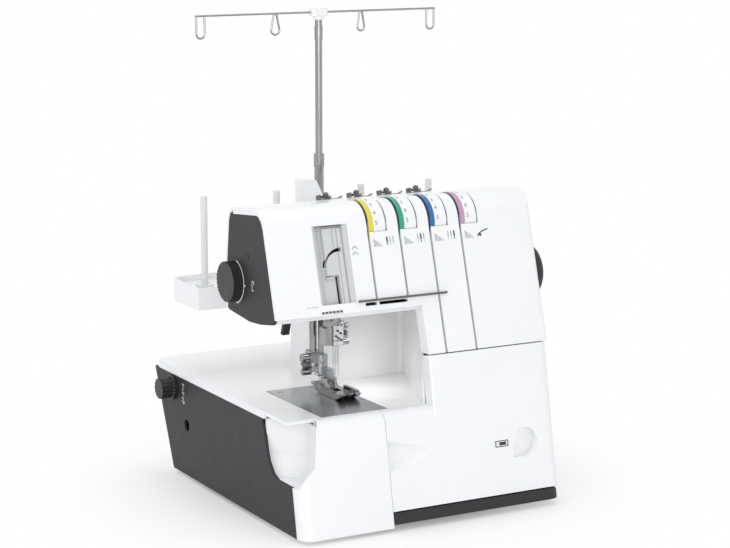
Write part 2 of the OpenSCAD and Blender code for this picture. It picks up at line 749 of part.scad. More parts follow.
module front_cover() {
    z1 = joint_z + seam;
    color(white) difference() {
        union() {
            difference() {
                upper_shell(head_x, half_w, z1, 0, wall);
                block([head_x - 1, -300, joint_z], [throat_x, 0, head_z]);
            }
            upper_shell(half_w - wall, half_w, z1, 1, cover_depth);
            // Rim round the end cap
            along_x(head_x + 0.3, head_x + cap_t - 1)
                polygon(concat(upper_skin(head_z, 1), [[ridge_y, head_z]]));
            intersection() {
                up_frame() translate([throat_x, 1, -20]) cube([wall, cover_depth - 1, 200]);
                block([throat_x, -300, z1], [throat_x + wall, 0, head_z - 1]);
            }
            for (i = [0:3]) intersection() {
                up_frame() translate([channel_x[i] - 4, 1, -10]) cube([8, 8, 160]);
                block([-half_w, -300, max(z1, channel_bottom[i] - 4)], [half_w, 0, corner_z + 2]);
            }
        }
        for (i = [0:3]) {
            intersection() {
                up_frame() translate([channel_x[i] - channel_w / 2, -1, -20])
                    cube([channel_w, 7, 180]);
                block([-half_w, -300, channel_bottom[i] - (i > 1 ? 5 : 0)], [half_w, 0, corner_z]);
            }
            rod_x([dial_x(i) - channel_w + 0.2, corner_y, corner_z],
                dial_w + channel_w + 1.6, dial_r + 0.6);
        }
        up_frame() {
            translate([recess_x[0], -1, recess_s[0]])
                cube([recess_x[1] - recess_x[0], 10, recess_s[1] - recess_s[0]]);
            translate([-58, -1, slot_row]) cube([13, 12, 3.2]);
            translate([-42, -1, slot_row]) cube([33, 12, 3.2]);
        }
        edge_cut(half_w);
        along_x(head_x - 1, head_x + cap_t + 0.2) polygon(cap_outline(0.2));
    }
}

// Rounds the upper cover's right vertical edge
module edge_cut(x) {
    r = 6;
    up_frame() translate([0, 0, -20]) linear_extrude(190)
        polygon(concat([[x + 1, -1], [x + 1, r]], arc([x - r, r], r, 0, -90), [[x - r, -1]]));
}

// Rear shell: the slope behind the ridge, the back wall and the back of the head
module rear_cover() {
    y1 = column_back;
    slope = [[ridge_y, top_at(ridge_y)], [y1 - 8, rear_slope_at(y1 - 8)],
        [y1 - 3, rear_slope_at(y1) - 1.2], [y1, rear_slope_at(y1) - 5], [y1, bed_z]];
    inner = concat([[y1 - wall, bed_z]], rear_inner(),
        [[ridge_y, top_at(ridge_y) - wall * top_sec]]);
    color(white) difference() {
        union() {
            along_x(column_x, half_w) polygon(concat(slope, inner));
            along_x(column_x, column_x + wall) polygon(concat(slope, [[throat_y + wall, bed_z],
                [throat_y + wall, head_z], [head_back - wall, head_z], [head_back - wall, 312],
                [ridge_y, 312]]));
            along_x(head_x, column_x) polygon(concat(head_rear(head_z - 5, 0),
                backwards(head_rear(head_z - 5, wall))));
        }
        lifter_slot();
    }
}

// Slot in the head's back and floor for the presser lifter
module lifter_slot() {
    block([lifter_x - 5.5, lifter_y - 6, 180], [lifter_x + 5.5, lifter_y + 12, lifter_z + 8]);
}

// Outline of the dark end cap, set in by a white rim; grow widens it at the front and top
cap_front = 4;
cap_top = 7;
cap_r = 14;
cap_t = 4;
function cap_outline(grow = 0) = concat(
    [[front_at(head_z) + (cap_front - grow) * up_sec, head_z]],
    arc(inner_corner(cap_front + cap_r, cap_top + cap_r), cap_r + grow, 180 - up_angle,
        90 - atan(top_fall)),
    [[ridge_y, top_at(ridge_y) - (cap_top - grow) * top_sec]],
    [for (k = [1:4]) head_rear(head_z - 5, wall)[k]],
    backwards(head_under(0)));

module head_end_cap() {
    color(charcoal) difference() {
        along_x(head_x, head_x + cap_t) polygon(cap_outline());
        rod_x([head_x - 1, knob_y, knob_z], cap_t + 2, 4 + run_gap);
    }
}

// Underside of the head, with openings for the two bars and the lamp
lamp_p = [-20, -62];
module head_floor() {
    color(white) difference() {
        intersection() {
            along_x(head_x + 4, throat_back_x) polygon(concat(head_under(0),
                [[throat_y, head_z - 9], [throat_y, head_z - 6.5], [head_back - wall, head_z - 2.5]],
                backwards([for (k = [0:4]) head_under(2.5)[k]])));
            translate([0, 0, 150]) linear_extrude(100) polygon([
                [head_x, -160], [throat_x, -160], [throat_x, front_at(head_z) + wall],
                [throat_back_x - 2.5, throat_y], [column_x, throat_y], [column_x, head_back - wall],
                [head_x, head_back - wall]]);
        }
        rod_z([needle_x, needle_y, 180], 60, 9);
        rod_z([presser_x, presser_y, 180], 60, 6);
        block([lamp_p[0] - 12, lamp_p[1] - 6, 180], [lamp_p[0] + 12, lamp_p[1] + 6, 240]);
        lifter_slot();
        // Room for the front cover's lower edge and its wall beside the throat
        block([head_x, -300, head_z - 0.05],
              [throat_x + wall, front_at(head_z + 3) + wall * up_sec + 0.05, head_z + 3]);
        block([throat_x - 0.05, -300, 180],
              [throat_x + wall + 0.05, front_at(head_z) + cover_depth * up_sec, head_z - 0.95]);
    }
}

module lamp_lens() {
    color("ivory") block([lamp_p[0] - 12, lamp_p[1] - 6, head_z - 12],
        [lamp_p[0] + 12, lamp_p[1] + 6, head_z - 7.5]);
}

// Take-up -------------------------------------------------------------------------------

// Sloping flanges, the hood with its curved slot, and the lever's slot below it
module take_up_cover() {
    x0 = recess_x[0];
    x1 = recess_x[1];
    s0 = recess_s[0];
    s1 = recess_s[1];
    deep = recess_depth;
    face = 3.2;
    color(light_grey) up_frame() difference() {
        union() {
            translate([x0, deep - 1, s0]) cube([x1 - x0, 1, s1 - s0]);
            translate([0, 0, s0]) linear_extrude(s1 - s0) {
                polygon([[x0, 0.6], [x0 + 1.5, 0.6], [hood_x[0], deep - 0.5], [x0, deep - 0.5]]);
                polygon([[x1, 0.6], [x1 - 2.5, 0.6], [hood_x[1], face + 1], [hood_x[1], deep - 0.5],
                    [x1, deep - 0.5]]);
            }
            translate([hood_x[0] + 2, face, hood_s])
                cube([hood_x[1] - hood_x[0] - 2, deep - face, s1 - 3 - hood_s]);
            translate([take_up_x + 1.1, face, s0])
                cube([hood_x[1] - take_up_x - 1.1, deep - face, hood_s - s0 + 1]);
            translate([hood_x[0] + 1, face + 0.5, hood_s - 3.5]) cube([9, deep - face - 1, 2]);
        }
        hood_slot(face);
        translate([take_up_x - 1.1, -1, s0 - 1]) cube([2.2, 20, hood_s - s0]);
        // Fine grooves down the hood, and the step to its right
        for (x = [take_up_x - 1, take_up_x + 3.6])
            translate([x, face - 1, hood_s + 28]) cube([0.7, 2, 60]);
        translate([take_up_x + 3.2, face - 1, s0 - 1]) cube([0.7, 2, hood_s - s0 + 27]);
        translate([hood_x[1] - 1.6, face - 1, s0 - 1]) cube([1.6, 3, s1 - s0 + 2]);
    }
}

// Crescent between two arcs, through which the needle threads run
module hood_slot(face) {
    tip = [hood_x[0] - 1, hood_s + 9];
    intersection() {
        translate([tip[0], face - 1, tip[1]]) cube([22, 20, 21]);
        translate([0, 25, 0]) rotate([90, 0, 0]) linear_extrude(30) difference() {
            translate(tip + [21.5, -1.5]) circle(20.3);
            translate(tip + [18.7, -0.5]) circle(15.4);
        }
    }
}

// Lever that draws up the three needle threads
module take_up_lever() {
    p = take_up_pivot;
    x0 = take_up_x - take_up_t / 2;
    color(steel) difference() {
        union() {
            rod_x([x0, p[0], p[1]], take_up_t, 5);
            along_x(x0, x0 + take_up_t) polygon([
                p + [-2, 4], p + [-20, 9], p + [-24, 4], p + [-20, 1], p + [-3, -4]]);
        }
        rod_x([x0 - 1, p[0], p[1]], take_up_t + 2, 2 + run_gap);
        rod_x([x0 - 1, p[0] - 20, p[1] + 5], take_up_t + 2, 1.2);
    }
}

// Tension ----------------------------------------------------------------------------------

// Numbered drum of one dial
module tension_dial(i) {
    x = dial_x(i);
    color(white) difference() {
        union() {
            rod_x([x + band_w, corner_y, corner_z], dial_w - band_w, dial_r);
            rod_x([x, corner_y, corner_z], band_w + 1, dial_r - 4);
        }
        rod_x([x - 1, corner_y, corner_z], dial_w + 2, axle_d / 2 + run_gap);
        rod_x([x + 3, corner_y, corner_z], dial_w, dial_r - 8);
    }
    color(white) difference() {
        rod_x([x, corner_y, corner_z], dial_w, axle_d / 2 + 3);
        rod_x([x - 1, corner_y, corner_z], dial_w + 2, axle_d / 2 + run_gap);
    }
}

// Coloured ring pressed on the drum's left end
module tension_band(i) {
    color(band_colours[i]) difference() {
        rod_x([dial_x(i), corner_y, corner_z], band_w, dial_r);
        rod_x([dial_x(i) - 1, corner_y, corner_z], band_w + 2, dial_r - 4);
    }
}

module tension_dial_1() { tension_dial(0); }
module tension_dial_2() { tension_dial(1); }
module tension_dial_3() { tension_dial(2); }
module tension_dial_4() { tension_dial(3); }
module tension_band_1() { tension_band(0); }
module tension_band_2() { tension_band(1); }
module tension_band_3() { tension_band(2); }
module tension_band_4() { tension_band(3); }

// Fixed axle of the dials, with a pair of tension discs left of each
module tension_axle() {
    color(steel) {
        rod_x([axle_ends[0] - 1, corner_y, corner_z], axle_ends[1] - axle_ends[0] + 7, axle_d / 2);
        for (i = [0:3]) {
            rod_x([dial_x(i) - 1.2, corner_y, corner_z], 0.8, 13);
            rod_x([dial_x(i) - 2.4, corner_y, corner_z], 0.8, 13);
        }
    }
}

// Pretension guides on the rear slope, each a bent plate, a post and a disc
guide_y = -30;
module thread_guides() {
    color(steel) for (i = [0:3]) translate([dial_x(i) - 5, guide_y, 0]) {
        z = rear_slope_at(guide_y);
        rotate_slope() {
            translate([-9, -4.5, 0]) cube([24, 9, 1.2]);
            translate([-9, -4.5, 0]) cube([1.2, 9, 6]);
            translate([13.8, -2.5, 0]) rotate([0, -24, 0]) cube([6, 5, 1.2]);
        }
        rod_z([0, 0, z + 0.6], 8, 1.5);
        rod_z([0, 0, z + 2.6], 0.8, 6);
        rod_z([0, 0, z + 4], 0.8, 6);
        rod_z([0, 0, z + 5.2], 2.5, 3);
    }
}
module rotate_slope() {
    translate([0, 0, rear_slope_at(guide_y)]) rotate([-atan(0.25), 0, 0]) children();
}

// Rod that steers the threads under the front face
module guide_rod() {
    color(steel) up_frame() {
        translate([recess_x[1] + 1, -3, slot_row + 5]) rotate([0, 90, 0]) cylinder(h = 104, r = 1.2);
        for (x = [-64, -9, 34])
            translate([x, -3, slot_row + 5]) rotate([-90, 0, 0]) cylinder(h = 3, r = 1.1);
    }
}

// Needle bar -------------------------------------------------------------------------------

module needle_bar() {
    color(steel) {
        rod_z([needle_x, needle_y, clamp_z1 - 12], 316 - clamp_z1 + 12, bar_d / 2);
        // Drive collar that the crank's link rides on
        difference() {
            rod_z([needle_x, needle_y, 264], 10, 6);
            block([needle_x + bar_d / 2 + 1, needle_y - 8, 260], [needle_x + 8, needle_y + 8, 280]);
        }
    }
}

// Set screws of the needles, then two of the thread guide: x from the middle needle, z and length
screw_r = 1.2;
clamp_front = needle_y - 7;
clamp_screws = concat([for (k = [-1:1]) [k * needle_pitch, clamp_z0 + 10 - k * 2.2, 6]],
    [[-1.2, clamp_z0 + 18, 2.7], [2.2, clamp_z0 + 15.2, 2.7]]);

module needle_clamp() {
    color(steel) difference() {
        union() {
            block([needle_x - 15, clamp_front + 1, clamp_z0 + 3],
                  [needle_x - 6, needle_y + 8, clamp_z1 - 7]);
            block([needle_x - 7, clamp_front, clamp_z0 + 2], [needle_x + 6, needle_y + 8, clamp_z1 - 5]);
            block([needle_x - 12, clamp_front + 2, clamp_z1 - 8], [needle_x + 5, needle_y + 6, clamp_z1]);
            rod_z([needle_x, needle_y, clamp_z1 - 1], 3, 5.5);
            // Thread guide on the right, open like a hook
            difference() {
                block([needle_x + 5, clamp_front + 2, clamp_z0 + 9],
                      [needle_x + 12, needle_y + 1, clamp_z1 - 2]);
                block([needle_x + 7, clamp_front, clamp_z0 + 12],
                      [needle_x + 10, needle_y + 2, clamp_z1 - 5]);
                block([needle_x + 9, clamp_front, clamp_z0 + 17],
                      [needle_x + 13, needle_y + 2, clamp_z0 + 19]);
            }
            rod_x([needle_x + 4, needle_y - 3, clamp_z0 + 4.5], 9, 3);
        }
        rod_z([needle_x, needle_y, clamp_z1 - 12], 30, bar_d / 2);
        for (k = [-1:1]) rod_z([needle_x + k * needle_pitch, needle_y, clamp_z0 - 1], 13, 0.9);
        for (p = clamp_screws) rod_y([needle_x + p[0], clamp_front - 1, p[1]], p[2] + 1, screw_r);
        rod_x([needle_x + 12.2, needle_y - 3, clamp_z0 + 4.5], 1, 1.6);
    }
}

module needles() {
    color(steel) for (k = [-1:1]) translate([needle_x + k * needle_pitch, needle_y, 0]) {
        rod_z([0, 0, needle_tip + 14], clamp_z0 - needle_tip - 3, 0.9);
        rod_z([0, 0, needle_tip + 5], 9.01, 0.55);
        translate([0, 0, needle_tip]) cylinder(h = 5.01, r1 = 0.12, r2 = 0.55);
    }
}

module needle_screws() {
    head = 1.2;
    color(black) for (p = clamp_screws)
        rod_y([needle_x + p[0], clamp_front - head, p[1]], p[2] + head, screw_r);
}

// Presser ----------------------------------------------------------------------------------

module presser_bar() {
    color(steel) {
        rod_z([presser_x, presser_y, 150], 154, presser_d / 2);
        difference() {
            rod_z([presser_x, presser_y, 236], 8, 7);
            rod_z([presser_x, presser_y, 235], 10, presser_d / 2);
        }
    }
}

// Coil round the presser bar
spring_turns = 7;
module presser_spring() {
    z0 = 245.2;
    z1 = bush_high - 8.2;
    n = spring_turns * 12;
    color(steel) swept([for (i = [0:n])
        [presser_x + 5.6 * cos(i * 30), presser_y + 5.6 * sin(i * 30), z0 + (z1 - z0) * i / n]],
        0.9, [0, 0, 1], 6);
}

// Ankle below the presser bar, with its shank, needle guard, clamp screw and release lever
module foot_holder() {
    collar = [150, 163];
    shank_y = [foot_pin_y + 2, presser_y - 3];
    color(steel) difference() {
        union() {
            block([presser_x - 6, presser_y - 7, collar[0]], [presser_x + 6, presser_y + 6, collar[1]]);
            block([presser_x - 1, shank_y[0], 137], [presser_x + 10, shank_y[1], 160]);
            block([presser_x + 6, foot_pin_y - 6, foot_pin_z - 3], [presser_x + 14, foot_pin_y + 6, 145]);
            block([presser_x + 3, shank_y[0] + 6.5, 158], [presser_x + 9, shank_y[0] + 8, 196]);
            block([presser_x - 12, presser_y - 6, 138], [presser_x - 5, presser_y + 2, 158]);
            block([presser_x - 7, presser_y - 6, 140], [presser_x, presser_y, 146]);
            rod_x([presser_x - 15, presser_y - 2, 156], 9, 4.5);
            rod_x([presser_x - 16, presser_y - 5, 141.5], 8, 3.5);
        }
        rod_z([presser_x, presser_y, collar[0]], 20, presser_d / 2);
        block([presser_x - 0.5, presser_y + 2, collar[0] - 1],
              [presser_x + 0.5, presser_y + 8, collar[1] + 1]);
        rod_x([presser_x + 5, foot_pin_y, foot_pin_z], 10, 1.5 + run_gap);
        rod_y([presser_x - 8.5, presser_y - 8, 150], 12, 1.5);
    }
}

// Foot with a split toe, hinged on the ankle's pin
module presser_foot() {
    z0 = bed_z + 0.4;
    pin_x0 = presser_x + 6;
    color(steel) difference() {
        union() {
            along_x(foot_x0, foot_x1) polygon([
                [-34, z0 + 6.5], [-45, z0 + 4], [-52, z0], [-88, z0], [-97, z0 + 2.6],
                [-101, z0 + 6], [-101, z0 + 8], [-96, z0 + 7], [-86, z0 + 4.5], [-48, z0 + 5],
                [-34, z0 + 8]]);
            for (x = [pin_x0 - 3.2, pin_x0 + 8.2])
                along_x(x, x + 3) polygon([[foot_pin_y - 8, z0 + 4], [foot_pin_y + 5, z0 + 4],
                    [foot_pin_y + 4, foot_pin_z + 3.5], [foot_pin_y - 4, foot_pin_z + 3.5]]);
            rod_x([pin_x0 - 3, foot_pin_y, foot_pin_z], 14, 1.5);
            block([foot_x0, -84, z0 + 4], [foot_x0 + 3, -56, z0 + 8]);
            block([foot_x1 - 4, -98, z0 + 4], [foot_x1, -70, z0 + 9.5]);
        }
        block([needle_x - needle_pitch - 1.6, needle_y - 6, z0 - 1],
              [needle_x + needle_pitch + 1.6, needle_y + 5, z0 + 12]);
        for (x = [foot_x0 + 7, foot_x0 + 15.5])
            block([x, -110, z0 - 1], [x + 1.8, -84, z0 + 12]);
        for (x = slot_x) if (x != needle_x)
            block([x - 1.9, needle_y - 14, z0 - 1], [x + 1.9, needle_y + 30, z0 + 0.8]);
    }
}

// Lever behind the head that lifts the presser bar
module presser_lifter() {
    color(charcoal) difference() {
        union() {
            rod_x([lifter_x - 4, lifter_y + 2, lifter_z], 8, 5);
            along_x(lifter_x - 4, lifter_x + 4) polygon([
                [lifter_y + 1, lifter_z - 4.5], [lifter_y + 5, lifter_z - 3],
                [lifter_y + 13, lifter_z - 34], [lifter_y + 22, lifter_z - 60],
                [lifter_y + 17, lifter_z - 61], [lifter_y + 8, lifter_z - 34]]);
        }
        rod_x([lifter_x - 5, lifter_y + 2, lifter_z], 10, 2 + run_gap);
    }
}

module pressure_knob() {
    r = pressure_knob_d / 2;
    color(black) {
        fluted_x([head_x - 10.5, knob_y, knob_z], 10, r, 30, 0.9);
        rod_x([head_x - 1, knob_y, knob_z], 9, 4);
    }
}

// Drive --------------------------------------------------------------------------------------

// Upper shaft with the crank and its two pulleys
module upper_shaft() {
    color(steel) difference() {
        union() {
            rod_x([crank_x, shaft_y, shaft_z], half_w + 20 - crank_x, shaft_d / 2);
            rod_x([crank_x, shaft_y, shaft_z], 6, crank_r);
            rod_x([crank_x - 1.5, shaft_y, shaft_z + needle_stroke / 2 - 2.5], 2.5, 1.8);
            rod_x([belt_x, shaft_y, shaft_z], 9, pulley_r);
            rod_x([belt_x - 1.2, shaft_y, shaft_z], 1.2, pulley_r + 2);
            rod_x([drive_x, shaft_y, shaft_z], 8, drive_r);
        }
        for (k = [0:5]) rotate_about(shaft_y, shaft_z, k * 60)
            rod_x([drive_x - 1, shaft_y, shaft_z + 20], 10, 5);
    }
}

// Domed handwheel with finger flutes
module handwheel() {
    x0 = half_w + 2;
    color(charcoal) difference() {
        translate([x0, shaft_y, shaft_z]) rotate([0, 90, 0]) rotate_extrude($fn = 72)
            polygon(concat([[shaft_d / 2, 0], [30, 0], [32, 2], [32, 11]],
                arc([20, 18], 12, 0, 60, 4), [[18.5, 32]], arc([14, 31], 4, 30, 90, 4),
                [[0, 35], [0, 20], [shaft_d / 2, 20]]));
        for (k = [0:17]) rotate_about(shaft_y, shaft_z, k * 20)
            rod_x([x0 - 1, shaft_y, shaft_z + 34], 14, 3.2);
    }
}

module lower_shaft() {
    color(steel) {
        rod_x([rib_x[0] - 8, shaft_y, lower_shaft_z], belt_x + 9 - rib_x[0] + 8, shaft_d / 2);
        rod_x([belt_x, shaft_y, lower_shaft_z], 9, pulley_r);
        rod_x([belt_x - 1.2, shaft_y, lower_shaft_z], 1.2, pulley_r + 2);
        translate([0, 3, 0]) rod_x([20, shaft_y, lower_shaft_z], 8, 13);
    }
}

// Closed belt round two pulleys of radii ra and rb
module belt(x, w, a, ra, b, rb) {
    gap = 0.3;
    along = unit(b - a);
    base = atan2(along[1], along[0]);
    spread = acos((ra - rb) / norm(b - a));
    function loop(t) = concat(
        arc(a, ra + t, base + spread, base + 360 - spread, 24),
        arc(b, rb + t, base - spread, base + spread, 24));
    along_x(x, x + w) difference() {
        polygon(loop(gap + belt_t));
        polygon(loop(gap));
    }
}

module timing_belt() {
    color(black) belt(belt_x + 0.5, 8, [shaft_y, shaft_z], pulley_r, [shaft_y, lower_shaft_z], pulley_r);
}

module drive_belt() {
    color(black) belt(drive_x + 1, 6, [shaft_y, shaft_z], drive_r, [motor_y, motor_z], motor_pulley_r);
}

// Motor on a bracket that stands on the frame's bed plate
motor_x1 = rib_x[1] - 8;
motor_x0 = motor_x1 - 56;
module motor() {
    color(black) difference() {
        rod_x([motor_x0, motor_y, motor_z], motor_x1 - motor_x0, motor_r);
        rod_x([motor_x1 - 20, motor_y, motor_z], 30, 4 + run_gap);
    }
    color(cast) block([motor_x0 + 6, motor_y - 16, floor_z + 11],
                      [motor_x1 - 6, motor_y + 11, motor_z - motor_r + 6]);
}

module motor_pulley() {
    color(steel) {
        rod_x([motor_x1 - 18, motor_y, motor_z], drive_x + 8 - motor_x1 + 18, 4);
        rod_x([drive_x, motor_y, motor_z], 8, motor_pulley_r);
    }
}

// Looper: a rocking arm with a blade that passes behind the needles
module looper() {
    color(steel) {
        difference() {
            rod_y([looper_pivot[0], looper_y - 1, looper_pivot[1]], 24, 8);
            rod_y([looper_pivot[0], looper_y - 2, looper_pivot[1]], 26, 3 + run_gap);
        }
        translate([0, looper_y + 3, 0]) rotate([90, 0, 0]) linear_extrude(3) polygon(concat(
            [[looper_pivot[0] - 5, looper_pivot[1] + 4], [looper_pivot[0] + 5, looper_pivot[1] + 4],
             [looper_pivot[0] + 4, 98]],
            [[looper_pivot[0] + 1, 101.5], [looper_pivot[0] - 18, 101.5], [looper_pivot[0] - 24, 100],
             [looper_pivot[0] - 17, 98.5], [looper_pivot[0] - 3, 98]]));
    }
}

// Small controls -------------------------------------------------------------------------------

module differential_dial() {
    color(black) {
        fluted_x([-half_w - 17.5, diff_y, diff_z], 13, 11.5, 14, 0.8);
        rod_x([-half_w - 4.5, diff_y, diff_z], 4, 13.5);
        rod_x([-half_w - 1, diff_y, diff_z], 8, 4);
    }
}

module stitch_length_dial() {
    color(charcoal) {
        fluted_x([half_w + 0.5, stitch_y, stitch_z], 11, 17, 24, 0.8);
        rod_x([half_w - 7, stitch_y, stitch_z], 8, 4);
    }
}

// Rocker on a pin in the panel
module power_switch() {
    color(black) {
        block([half_w - wall, switch_y - 6.6, switch_z - 10.4],
              [half_w + 2, switch_y + 6.6, switch_z + 10.4]);
        rod_y([half_w - wall / 2, switch_y - 8, switch_z], 16, 1.1);
    }
}

module power_inlet() {
    color(black) difference() {
        block([half_w - 20, inlet_y - 13, inlet_z - 9], [half_w, inlet_y + 13, inlet_z + 9]);
        block([half_w - 15, inlet_y - 10.5, inlet_z - 6.5], [half_w + 1, inlet_y + 10.5, inlet_z + 6.5]);
    }
}

// Thread stand ------------------------------------------------------------------------------------

module spool_tray() {
    x0 = stand_x - tray_w / 2;
    x1 = stand_x + tray_w / 2;
    color(white) {
        difference() {
            translate([0, 0, tray_bottom]) linear_extrude(tray_rim - tray_bottom)
                rounded_plan(x0, tray_y0, x1, tray_y1, [0, 0, 20, 20]);
            translate([0, 0, tray_floor]) linear_extrude(20)
                rounded_plan(x0 + wall, tray_y0 + wall, x1 - wall, tray_y1 - wall, [0, 0, 17, 17]);
            difference() {
                translate([0, 0, tray_bottom - 1]) linear_extrude(tray_floor - tray_bottom - wall + 1)
                    rounded_plan(x0 + wall, tray_y0 + wall, x1 - wall, tray_y1 - wall, [0, 0, 17, 17]);
                rod_z([stand_x, pole_y, tray_bottom - 2], 30, 12);
            }
            rod_z([stand_x, pole_y, tray_bottom + wall], 40, lower_pole_r + run_gap);
            for (x = pin_places) rod_z([x, pin_y, tray_bottom - 2], 40, 3);
        }
        // Upright behind the head that steadies the pole
        difference() {
            translate([0, tray_y0 + 19, tray_floor]) rotate([90, 0, 0]) linear_extrude(16) polygon([
                [stand_x - 37, 0], [stand_x - 37, 114], [stand_x - 19, 113], [stand_x - 16, 107],
                [stand_x - 8, 90], [stand_x - 8, 0]]);
            block([stand_x - 34, tray_y0 + 6, tray_floor - 1],
                  [stand_x - 22, tray_y0 + 30, tray_floor + 100]);
        }
    }
}

module spool_pins() {
    color([0.9, 0.9, 0.88]) for (x = pin_places) {
        rod_z([x, pin_y, tray_floor], pin_h, pin_d / 2);
        rod_z([x, pin_y, tray_floor], 3, 10);
        rod_z([x, pin_y, tray_floor - 3], 3, 3);
    }
}

module lower_pole() {
    z0 = tray_bottom + wall;
    color(steel) difference() {
        union() {
            rod_z([stand_x, pole_y, z0], lower_pole_top - z0, lower_pole_r);
            rod_z([stand_x, pole_y, lower_pole_top - 15], 15, lower_pole_r + 0.7);
        }
        rod_z([stand_x, pole_y, z0 + 3], 200, upper_pole_r + run_gap);
    }
}

pole_overlap = 26;
module upper_pole() {
    color(steel) {
        rod_z([stand_x, pole_y, lower_pole_top - pole_overlap],
            guide_z - 4 - lower_pole_top + pole_overlap,
            upper_pole_r);
        rod_z([stand_x, pole_y, guide_z - 30], 15, upper_pole_r + 0.6);
    }
}

module thread_guide_hub() {
    color(white) difference() {
        union() {
            translate([0, 0, guide_z - 4]) linear_extrude(8)
                rounded_plan(stand_x - 10, pole_y - 6, stand_x + 10, pole_y + 6, [4, 4, 4, 4]);
            rod_z([stand_x, pole_y, guide_z - 8], 5, 6);
        }
        rod_z([stand_x, pole_y, guide_z - 9], 5.3, upper_pole_r + run_gap);
    }
}

wire_r = 1.15;
wire_end = 7;
wire_x0 = stand_x - pin_span / 2 - wire_end;
wire_x1 = stand_x + pin_span / 2 + wire_end;
// Hanging loop: straight sides that narrow towards the bar, with a round bottom
function hanging_loop(x, half, drop, neck) = let (r = half - wire_r, z = guide_z - drop + r) concat(
    [[x - neck, pole_y, guide_z]],
    [for (a = [180:18:360]) [x + r * cos(a), pole_y, z + r * sin(a)]],
    [[x + neck, pole_y, guide_z]]);
module thread_guide_wire() {
    color(steel) {
        rod_x([wire_x0, pole_y, guide_z], stand_x - 10 - wire_x0, wire_r);
        rod_x([stand_x + 10, pole_y, guide_z], wire_x1 - stand_x - 10, wire_r);
        swept(hanging_loop(pin_places[0] - 1, 6, 24, 4.8), wire_r, [0, 1, 0]);
        swept(hanging_loop(pin_places[1], 6.2, 23, 1.4), wire_r, [0, 1, 0]);
        swept(hanging_loop(pin_places[2], 5.4, 22, 1.4), wire_r, [0, 1, 0]);
        swept(hanging_loop(pin_places[3] + 1, 6, 23, 4.8), wire_r, [0, 1, 0]);
    }
}

base_tray();
rubber_feet();
left_side_panel();
right_side_panel();
rear_base_cover();
bed_cover();
front_left_cover();
looper_cover();
looper_cover_hinge();
needle_plate();
plate_screws();
feed_dog();
main_frame();
throat_cover();
front_cover();
rear_cover();
head_end_cap();
head_floor();
lamp_lens();
take_up_cover();
take_up_lever();
tension_dial_1();
tension_dial_2();
tension_dial_3();
tension_dial_4();
tension_band_1();
tension_band_2();
tension_band_3();
tension_band_4();
tension_axle();
thread_guides();
guide_rod();
needle_bar();
needle_clamp();
needles();
needle_screws();
presser_bar();
presser_spring();
foot_holder();
presser_foot();
presser_lifter();
pressure_knob();
upper_shaft();
handwheel();
lower_shaft();
timing_belt();
motor();
motor_pulley();
drive_belt();
looper();
differential_dial();
stitch_length_dial();
power_switch();
power_inlet();
spool_tray();
spool_pins();
lower_pole();
upper_pole();
thread_guide_hub();
thread_guide_wire();
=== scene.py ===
"""Looks for a three-needle coverstitch sewing machine, on the frame packed from its CAD."""
import json
import math

import bmesh
import bpy
from mathutils import Matrix, Vector

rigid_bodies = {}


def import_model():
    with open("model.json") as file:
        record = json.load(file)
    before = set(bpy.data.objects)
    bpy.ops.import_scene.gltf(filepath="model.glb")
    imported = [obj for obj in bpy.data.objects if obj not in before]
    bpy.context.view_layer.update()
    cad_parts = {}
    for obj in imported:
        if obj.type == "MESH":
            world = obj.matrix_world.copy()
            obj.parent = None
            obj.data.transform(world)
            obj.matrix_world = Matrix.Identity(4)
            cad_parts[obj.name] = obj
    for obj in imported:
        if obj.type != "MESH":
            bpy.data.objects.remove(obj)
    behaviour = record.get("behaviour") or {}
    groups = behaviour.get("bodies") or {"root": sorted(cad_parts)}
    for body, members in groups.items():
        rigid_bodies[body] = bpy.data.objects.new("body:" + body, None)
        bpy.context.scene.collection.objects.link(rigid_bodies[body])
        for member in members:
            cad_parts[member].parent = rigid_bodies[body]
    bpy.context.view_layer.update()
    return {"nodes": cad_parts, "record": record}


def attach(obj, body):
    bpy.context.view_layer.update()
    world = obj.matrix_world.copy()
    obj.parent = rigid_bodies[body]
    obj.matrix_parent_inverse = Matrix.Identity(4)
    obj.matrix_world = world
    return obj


MM = 0.001
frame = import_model()

# Camera -------------------------------------------------------------------------------

CAMERA_AT = (-1.0847, -1.9935, 0.6575)
CAMERA_TURN = (79.4, 0.0, -28.9)
LENS_MM = 105.1
SENSOR_MM = 36.0
CLIP_END = 60.0


def add_camera():
    data = bpy.data.cameras.new("camera")
    data.lens = LENS_MM
    data.sensor_width = SENSOR_MM
    data.clip_end = CLIP_END
    camera = bpy.data.objects.new("camera", data)
    camera.location = CAMERA_AT
    camera.rotation_euler = [math.radians(a) for a in CAMERA_TURN]
    bpy.context.scene.collection.objects.link(camera)
    bpy.context.scene.camera = camera


# Lines and places of the CAD, in mm -----------------------------------------------------

HALF_W = 155.0
FRONT_Y, FRONT_Z = -184.0, 4.0      # foot of the front wall
JOINT_Z = 172.0                     # joint between the looper cover and the upper cover
LEAN_LOW, LEAN_UP = 0.19, 0.29      # lean of the front below and above the joint
BED_Z = 120.0
CORNER = (-86.58, 300.92)           # y and z of the tension axle
CORNER_R = 27.0                     # rounded top edge of the upper cover
DIAL_R = 28.0
DIAL_W = 19.5
DIAL_X = [-43.0, -6.5, 30.0, 66.5]  # left side of each dial
CHANNEL_BOTTOMS = [232.0, 232.0, 173.0, 173.0]
HEAD_X = -161.0                     # outer face of the end cap
KNOB = (-42.0, 247.0)               # y and z of the pressure knob
DIFFERENTIAL = (133.0, 97.0)        # y and z of the differential dial
DIFFERENTIAL_FLANGE = 4.5           # how far the dial's flange stands off the panel
NEEDLE_X, NEEDLE_Y, CLAMP_Z = -57.0, -68.0, 172.0
PRESSER_X, PRESSER_Y, SHANK_Z = -67.0, -36.0, 137.0


